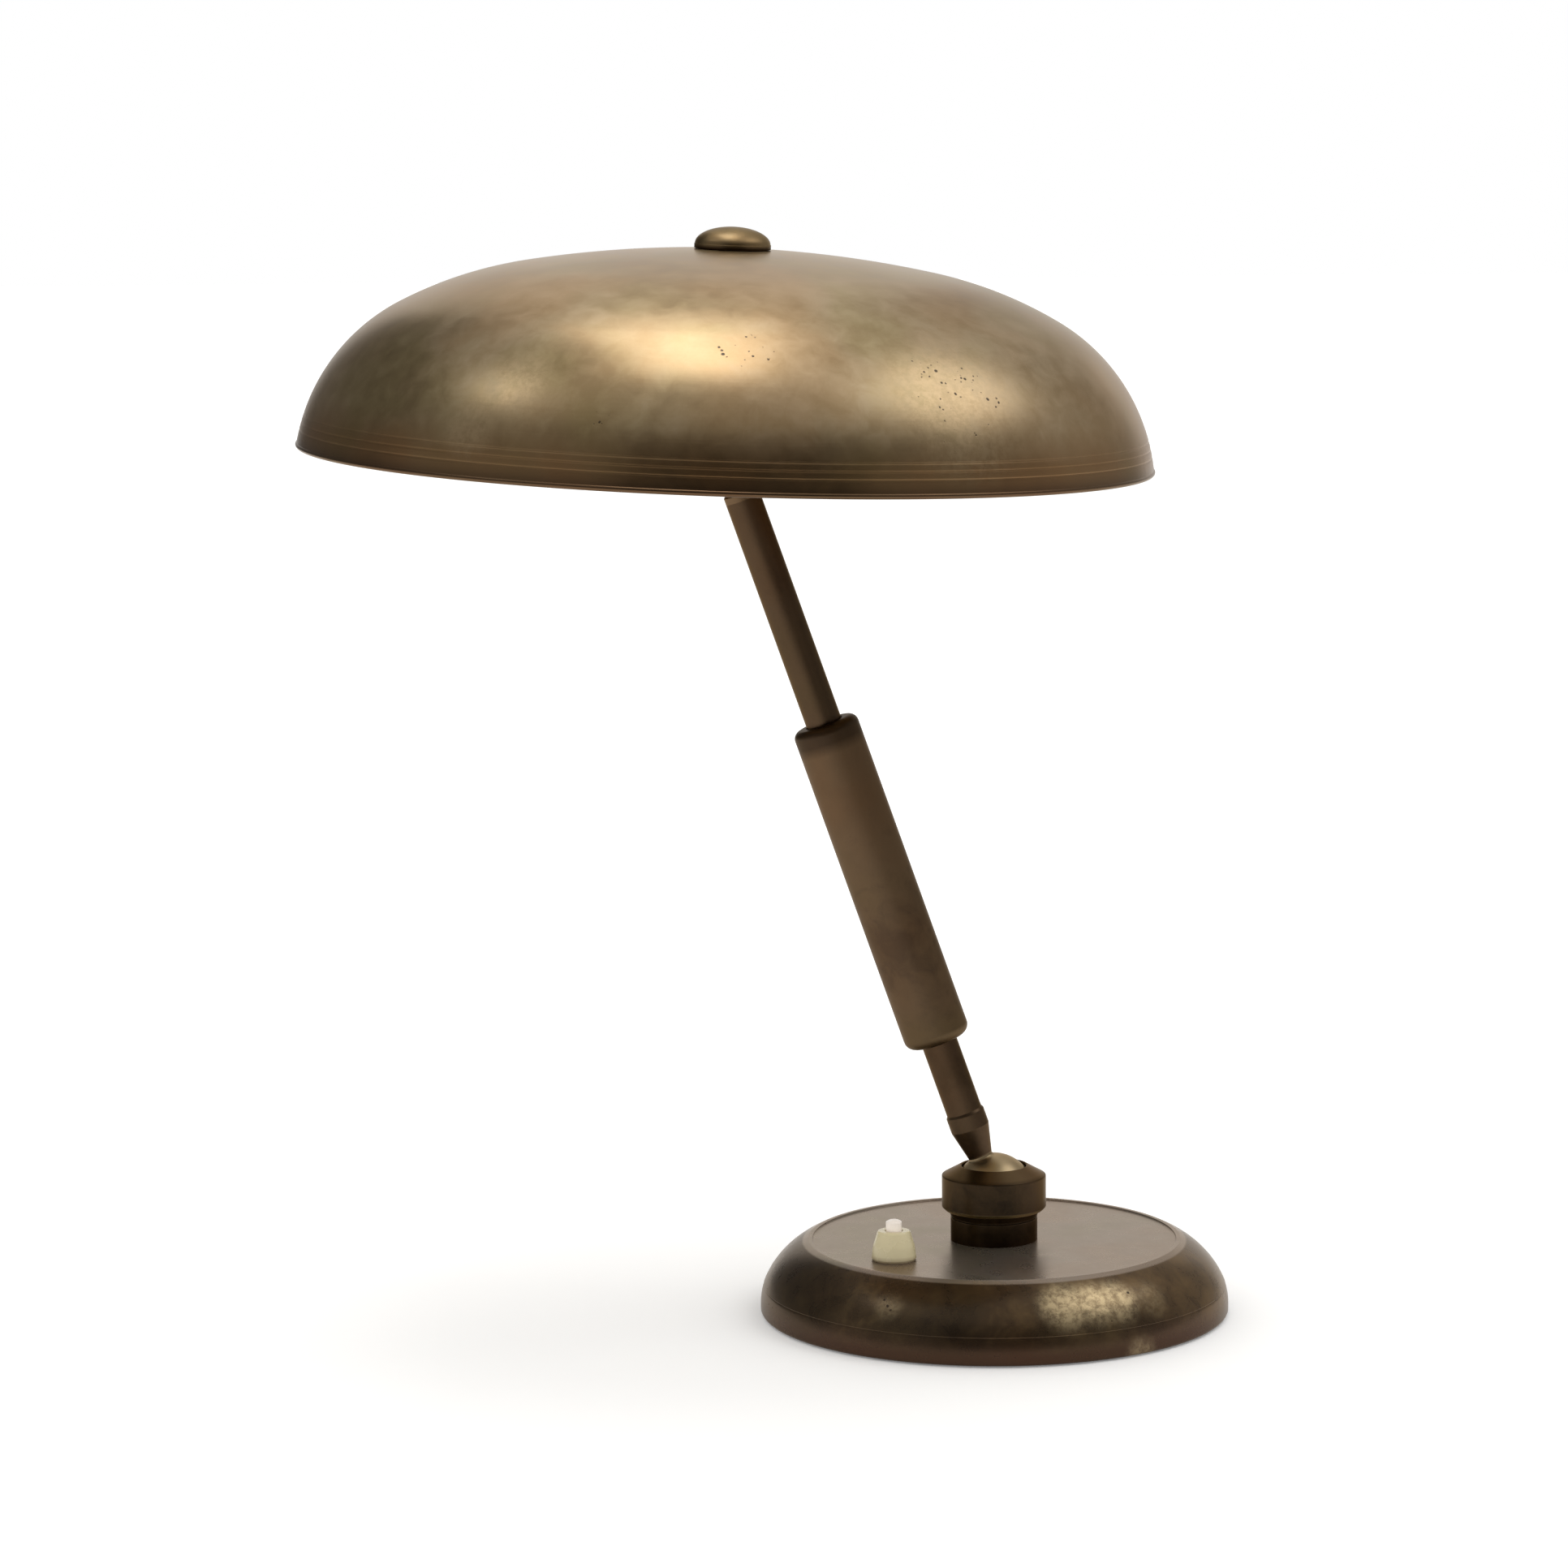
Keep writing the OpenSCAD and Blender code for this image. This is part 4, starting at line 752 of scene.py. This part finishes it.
class DESKLAMP_OT_joint(Operator):
    """Turn the pedestal, the cap over the ball, and the ball with its neck"""

    bl_idname = "desk_lamp.joint"
    bl_label = "Ball Joint"

    def execute(self, context):
        s, look = at_hand(context.scene)
        disc, ball_z, head = 29, 47.1, 41
        seat_r = s.ball_radius + 0.3
        cap_mouth, head_r, bore = 12.7, 18.4, 13.6
        thread = head_r + 0.05

        def seat_arc(from_r, to_z, upper, steps=10):
            """The ball's seat from radius from_r to height to_z."""
            start = math.degrees(math.asin(from_r / seat_r))
            start = start if upper else 180 - start
            stop = math.degrees(math.acos((to_z - ball_z) / seat_r))
            return arc((0, ball_z), seat_r, start, stop, steps)

        hole, stem_r, stem_foot, floor = 4.2, 6.5, 11, 31.5
        drum, groove, groove_low, groove_high, thread_top = 17, 16.4, 38, 38.6, head + 6
        collar = rounded([
            (hole, stem_foot), (stem_r, stem_foot, 0.5), (stem_r, disc), (drum, disc),
            (drum, groove_low, 0.25), (groove, groove_low, 0.1), (groove, groove_high, 0.1),
            (drum, groove_high, 0.2), (17.6, head, 0.2), (head_r, head),
            (head_r, thread_top, 0.3), (seat_r, thread_top)])
        seat_in = seat_arc(bore, thread_top, False)[::-1][1:]
        pedestal = collar + seat_in + [(bore, floor), (hole, floor)]
        piece = turned("pedestal_turned", flat_ends(pedestal), ON_BASE, TUBE_FACETS)
        dress(piece, "base", "dark_brass", look["turned_brass_bronzed"], "pedestal")

        cap_r, bevel = 20.4, 1.2
        outer = rounded([
            (thread, head), (19.2, head, 0.2), (cap_r, head + bevel, s.edge),
            (cap_r, 54.6, 0.5), (cap_mouth + 0.4, 58.6, 0.3), (cap_mouth, 58.2)])
        cap = outer + seat_arc(cap_mouth, head + 6.2, True) + [(thread, head + 6.2)]
        piece = turned("ball_cap_turned", flat_ends(cap), ON_BASE, TUBE_FACETS)
        dress(piece, "base", "dark_brass", look["turned_brass_cap"], "ball_cap")

        neck, flare, bore, collar_r, spigot_r, spigot_top = 4.8, 5.52, 2.6, 7.65, 5.75, 46
        low = 180 - math.degrees(math.asin(flare / s.ball_radius))
        high = math.degrees(math.asin((neck + 0.6) / s.ball_radius))
        ball = arc((0, 0), s.ball_radius, low, high, 48)
        stem = rounded([
            ball[-1], (neck, 15.6, 0.8), (neck, 16.2, 0.2), (collar_r, 28, 0.3),
            (collar_r, 34, s.edge), (s.rod_radius, 35)])
        spigot = [(spigot_r, 35), (spigot_r, 45.6), (5.35, spigot_top), (bore, spigot_top),
                  (bore, -8)]
        outline = flat_ends(ball[:-1] + stem + spigot)
        piece = turned("ball_stem_turned", outline, ON_ARM, TUBE_FACETS)
        dress(piece, "arm", "patina_brass", look["turned_brass_ball"], "ball_stem")
        return {"FINISHED"}


class DESKLAMP_OT_arm(Operator):
    """Draw the arm's sleeve with its round foot and rolled lip, and finish the rods"""

    bl_idname = "desk_lamp.arm"
    bl_label = "Arm"

    def execute(self, context):
        s, look = at_hand(context.scene)
        foot, top, wall, foot_round = 64.6, 197.9, 1.2, 4
        bore = s.sleeve_radius - wall
        hole = s.rod_radius + 0.05
        mouth, guide_top = s.rod_radius + 0.35, top - 0.95
        outline = rounded([
            (hole, foot), (s.sleeve_radius, foot, foot_round), (s.sleeve_radius, top, s.sleeve_lip),
            (mouth, top, 0.3), (mouth, guide_top), (bore, guide_top),
            (bore, foot + wall, foot_round - wall), (hole, foot + wall)], steps=8)
        piece = turned("sleeve_drawn", flat_ends(outline), ON_ARM, TUBE_FACETS)
        dress(piece, "arm", "patina_brass", look["drawn_brass_sleeve"], "sleeve")
        finish_nodes(look["drawn_brass_bronzed"], "lower_rod", "upper_rod")
        finish_nodes(look["turned_brass_patinated"], "top_ball")
        return {"FINISHED"}


class DESKLAMP_OT_switch(Operator):
    """Mould the switch's bell-shaped nut and its button, and coil its spring"""

    bl_idname = "desk_lamp.switch"
    bl_label = "Push Switch"

    def execute(self, context):
        _, look = at_hand(context.scene)
        bell_h, roof, thread, hole = 11.4, 8, 5.05, 3.45
        bell = rounded([
            (8.3, 0), (8.7, 0.8, 0.3), (8.05, 5.7, 6), (6.2, bell_h, 0.9), (hole, bell_h, 0.3),
            (hole, roof), (thread, roof), (thread, 0)], steps=6)
        piece = turned("switch_nut_moulded", flat_ends(bell), ON_SWITCH, NUT_FACETS)
        dress(piece, "base", "cream_plastic", look["urea_moulded"], "switch_nut")

        top, button, stem, flange, dome = bell_h + 4.4, 3.1, 2, 4.7, 1.0
        ball = (button * button + dome * dome) / (2 * dome)
        half = math.degrees(math.asin(button / ball))
        crown = arc((0, top - ball), ball, 0, half, 10)
        crown[0] = (0, top)
        low = rounded([
            crown[-2], (button, top - dome, 0.3), (button, 7.7), (flange, 7.7, 0.2),
            (flange, 6.1, 0.2), (stem, 6.1), (stem, -6.2), (0, -6.2)])
        outline = flat_ends(crown[:-1] + low[1:])
        piece = turned("switch_button_moulded", outline, ON_SWITCH, BUTTON_FACETS)
        dress(piece, "switch_button", "cream_plastic", look["urea_moulded_pale"], "switch_button")

        # The spring under the button's flange
        low, high, travel, coil_radius, wire, turns = 1.5, 6, 2.5, 3.5, 0.25, 4
        piece = coil("switch_spring_coiled", coil_radius, wire, low, high, turns, ON_SWITCH)
        dress(piece, "base", "steel", look["zinc_plated_steel"], "switch_spring")
        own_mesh(piece)
        return {"FINISHED"}


class DESKLAMP_OT_fittings(Operator):
    """Finish the hub, the lampholders, the bulbs and everything inside"""

    bl_idname = "desk_lamp.fittings"
    bl_label = "Fittings"

    def execute(self, context):
        _, look = at_hand(context.scene)
        finish_nodes(look["turned_brass_bronzed"], "retaining_ring", "hub", "hub_lid")
        finish_nodes(look["turned_brass_bare"],
                     "friction_cup", "switch_tube", "switch_lock_nut", "switch_terminals",
                     "sleeve_plug", "sleeve_guide", "slide_ring", "top_cup", "shade_stud",
                     "holder_nipples", "screw_shell_front", "screw_shell_back", "shade_nut",
                     "shade_washer", "bulb_cap_front", "bulb_cap_back")
        finish_nodes(look["zinc_plated_steel"],
                     "base_plate", "plate_screws", "pedestal_washer", "pedestal_nut",
                     "cup_spring", "rod_shoulder", "rod_end_nut", "top_spring")
        finish_nodes(look["bakelite_moulded"],
                     "cord_bush", "switch_body", "lampholder_front", "lampholder_back")
        finish_nodes(look["cast_iron_painted"], "base_weight")
        finish_nodes(look["wool_felt"], "base_felt")
        finish_nodes(look["rubber_flex"], "base_flex")
        finish_nodes(look["opal_glass_blown"], "bulb_glass_front", "bulb_glass_back")
        return {"FINISHED"}


# -------------------------------- studio

def soft_box(name, bearing, height, distance, width, depth, radiance, aim):
    """A rectangular lamp. bearing is in degrees from the front (0) to the right (90), height in
    degrees above the floor, radiance how bright its face is, with white paper in daylight at 1."""
    turn, lift = math.radians(bearing), math.radians(height)
    away = Vector((
        math.sin(turn) * math.cos(lift), -math.cos(turn) * math.cos(lift), math.sin(lift)))
    light = bpy.data.lights.new(name, "AREA")
    light.shape = "RECTANGLE"
    light.size, light.size_y = width, depth
    light.energy = radiance * math.pi * width * depth
    lamp = bpy.data.objects.new(name, light)
    bpy.context.scene.collection.objects.link(lamp)
    lamp.location = Vector(aim) + away * distance
    lamp.rotation_euler = away.to_track_quat("Z", "Y").to_euler()


def flag(name, start, stop, inner, outer, low, high, shade_of_grey):
    """A studio flag seen by glossy rays alone, between two bearings: part of a standing cylinder
    if its radii are equal, part of a level ring if its heights are."""
    mesh = bmesh.new()
    steps = 24
    columns = []
    for k in range(steps + 1):
        a = math.radians(start + (stop - start) * k / steps)
        across = Vector((math.sin(a), -math.cos(a), 0))
        columns.append((mesh.verts.new(across * inner + Vector((0, 0, low))),
                        mesh.verts.new(across * outer + Vector((0, 0, high)))))
    for (a, b), (c, d) in zip(columns, columns[1:]):
        mesh.faces.new((a, c, d, b))
    panel = into_scene(mesh, name, ON_BASE)
    material, tree = new_material("flag_cloth_" + name)
    cloth = add_node(tree, "ShaderNodeEmission", {"Color": with_alpha([shade_of_grey] * 3)})
    add_node(tree, "ShaderNodeOutputMaterial", {"Surface": cloth.outputs[0]})
    panel.data.materials.append(material)
    for ray in ("camera", "diffuse", "shadow", "transmission"):
        setattr(panel, "visible_" + ray, False)


class DESKLAMP_OT_stage(Operator):
    """Set the camera, the pale floor, the soft boxes and the flags"""

    bl_idname = "desk_lamp.stage"
    bl_label = "Stage"

    def execute(self, context):
        scene = context.scene
        scene.view_settings.view_transform = "Standard"

        lens = bpy.data.cameras.new("photo_camera")
        lens.sensor_width = 36
        lens.lens = 123.22
        lens.clip_end = 50
        camera = bpy.data.objects.new("photo_camera", lens)
        scene.collection.objects.link(camera)
        tilt = Matrix.Rotation(math.radians(81.74), 4, "X")
        roll = Matrix.Rotation(math.radians(-0.5092), 4, "Z")
        camera.matrix_world = Matrix.Translation((-0.0809, -2.0604, 0.5091)) @ tilt @ roll
        scene.camera = camera

        world = bpy.data.worlds.new("studio")
        scene.world = world
        world.use_nodes = True
        tree = world.node_tree
        tree.nodes.clear()
        # The backdrop is white to the eye and in the metal, and lights the lamp a little less
        strength = add_node(tree, "ShaderNodeMapRange", {
            "Value": seen_rays(tree), "To Min": 0.95, "To Max": 1.0})
        sky = add_node(tree, "ShaderNodeBackground", {
            "Color": (1, 1, 1, 1), "Strength": strength.outputs[0]})
        add_node(tree, "ShaderNodeOutputWorld", {"Surface": sky.outputs[0]})

        bpy.ops.mesh.primitive_plane_add(size=16)
        floor = context.object
        floor.name = "floor"
        material, tree = new_material("floor_paper")
        paper = add_node(tree, "ShaderNodeBsdfDiffuse", {
            "Color": with_alpha(scene.lamp_colours.floor)})
        # The sweep is lit more strongly further back, so its far edge doesn't show
        place = add_node(tree, "ShaderNodeTexCoord").outputs["Object"]
        away = add_node(tree, "ShaderNodeVectorMath", {0: place}, operation="LENGTH")
        glow = add_node(tree, "ShaderNodeMapRange", {
            "Value": away.outputs["Value"], "From Min": 0.5, "From Max": 1.5,
            "To Min": 0.16, "To Max": 0.35})
        glow = add_node(tree, "ShaderNodeMath", {
            0: seen_rays(tree), 1: glow.outputs[0]}, operation="MULTIPLY")
        lift = add_node(tree, "ShaderNodeEmission", {"Strength": glow.outputs[0]})
        both = add_node(tree, "ShaderNodeAddShader", {0: paper.outputs[0], 1: lift.outputs[0]})
        add_node(tree, "ShaderNodeOutputMaterial", {"Surface": both.outputs[0]})
        floor.data.materials.append(material)

        soft_box("overhead_box", 183, 82, 1.5, 0.58, 1.2, 3.4, (-0.2, 0, 0.38))
        soft_box("left_box", -84, 49, 2.2, 0.4, 0.4, 1.55, (0, 0, 0.2))
        soft_box("right_box", 91, 52, 2.4, 1.4, 1.2, 1.15, (0, 0, 0.2))
        low, middle, high, near, far, overhead = -0.4, 1.1, 3.3, 0.9, 3.2, 0.01
        for name, start, stop, inner, outer, foot, top, grey in (
                ("left_back", -158, -95, far, far, low, high, 0.16),
                ("left_front", -95, -30, far, far, low, middle, 0.36),
                ("high_left_front", -95, -30, far, far, middle, high, 0.27),
                ("front", -30, 36, far, far, low, high, 0.05),
                ("right_front", 36, 95, far, far, low, middle, 0.31),
                ("high_right_front", 36, 95, far, far, middle, high, 0.2),
                ("right_back", 95, 148, far, far, low, high, 0.4),
                ("right_rear", 148, 172, far, far, 1.3, high, 0.62),
                ("left_ceiling", 180, 262, overhead, far, high, high, 0.45),
                ("left_front_ceiling", 262, 315, overhead, far, high, high, 0.7),
                ("right_ceiling", 45, 180, overhead, far, high, high, 0.68),
                ("front_ceiling", -45, 45, near, far, high, high, 0.46),
                ("top_ceiling", -45, 45, overhead, near, high, high, 0.66)):
            flag(name + "_flag", start, stop, inner, outer, foot, top, grey)
        return {"FINISHED"}


def seen_rays(tree):
    """1 for rays from the camera and for those that metal or glass reflects or passes, else 0."""
    path = add_node(tree, "ShaderNodeLightPath")
    seen = path.outputs["Is Camera Ray"]
    for name in ("Is Glossy Ray", "Is Transmission Ray"):
        seen = add_node(tree, "ShaderNodeMath", {0: seen, 1: path.outputs[name]},
                        operation="MAXIMUM").outputs[0]
    return seen


class DESKLAMP_PT_panel(Panel):
    """Buttons for each piece and for the stage"""

    bl_idname = "DESKLAMP_PT_panel"
    bl_label = "Desk Lamp"
    bl_space_type = "VIEW_3D"
    bl_region_type = "UI"
    bl_category = "Desk Lamp"

    def draw(self, context):
        for operator in OPERATORS:
            self.layout.operator(operator.bl_idname)
        for group in (context.scene.lamp_sizes, context.scene.lamp_colours):
            box = self.layout.box()
            for name in group.__annotations__:
                box.prop(group, name)


OPERATORS = (
    DESKLAMP_OT_stage, DESKLAMP_OT_shade, DESKLAMP_OT_knob, DESKLAMP_OT_base,
    DESKLAMP_OT_joint, DESKLAMP_OT_arm, DESKLAMP_OT_switch, DESKLAMP_OT_fittings)
CLASSES = (LampSizes, LampColours, *OPERATORS, DESKLAMP_PT_panel)


def register():
    for cls in CLASSES:
        bpy.utils.register_class(cls)
    bpy.types.Scene.lamp_sizes = PointerProperty(type=LampSizes)
    bpy.types.Scene.lamp_colours = PointerProperty(type=LampColours)


def unregister():
    del bpy.types.Scene.lamp_colours
    del bpy.types.Scene.lamp_sizes
    for cls in reversed(CLASSES):
        bpy.utils.unregister_class(cls)


def main():
    register()
    for operator in OPERATORS:
        group, name = operator.bl_idname.split(".")
        getattr(getattr(bpy.ops, group), name)()


if __name__ == "__main__":
    main()
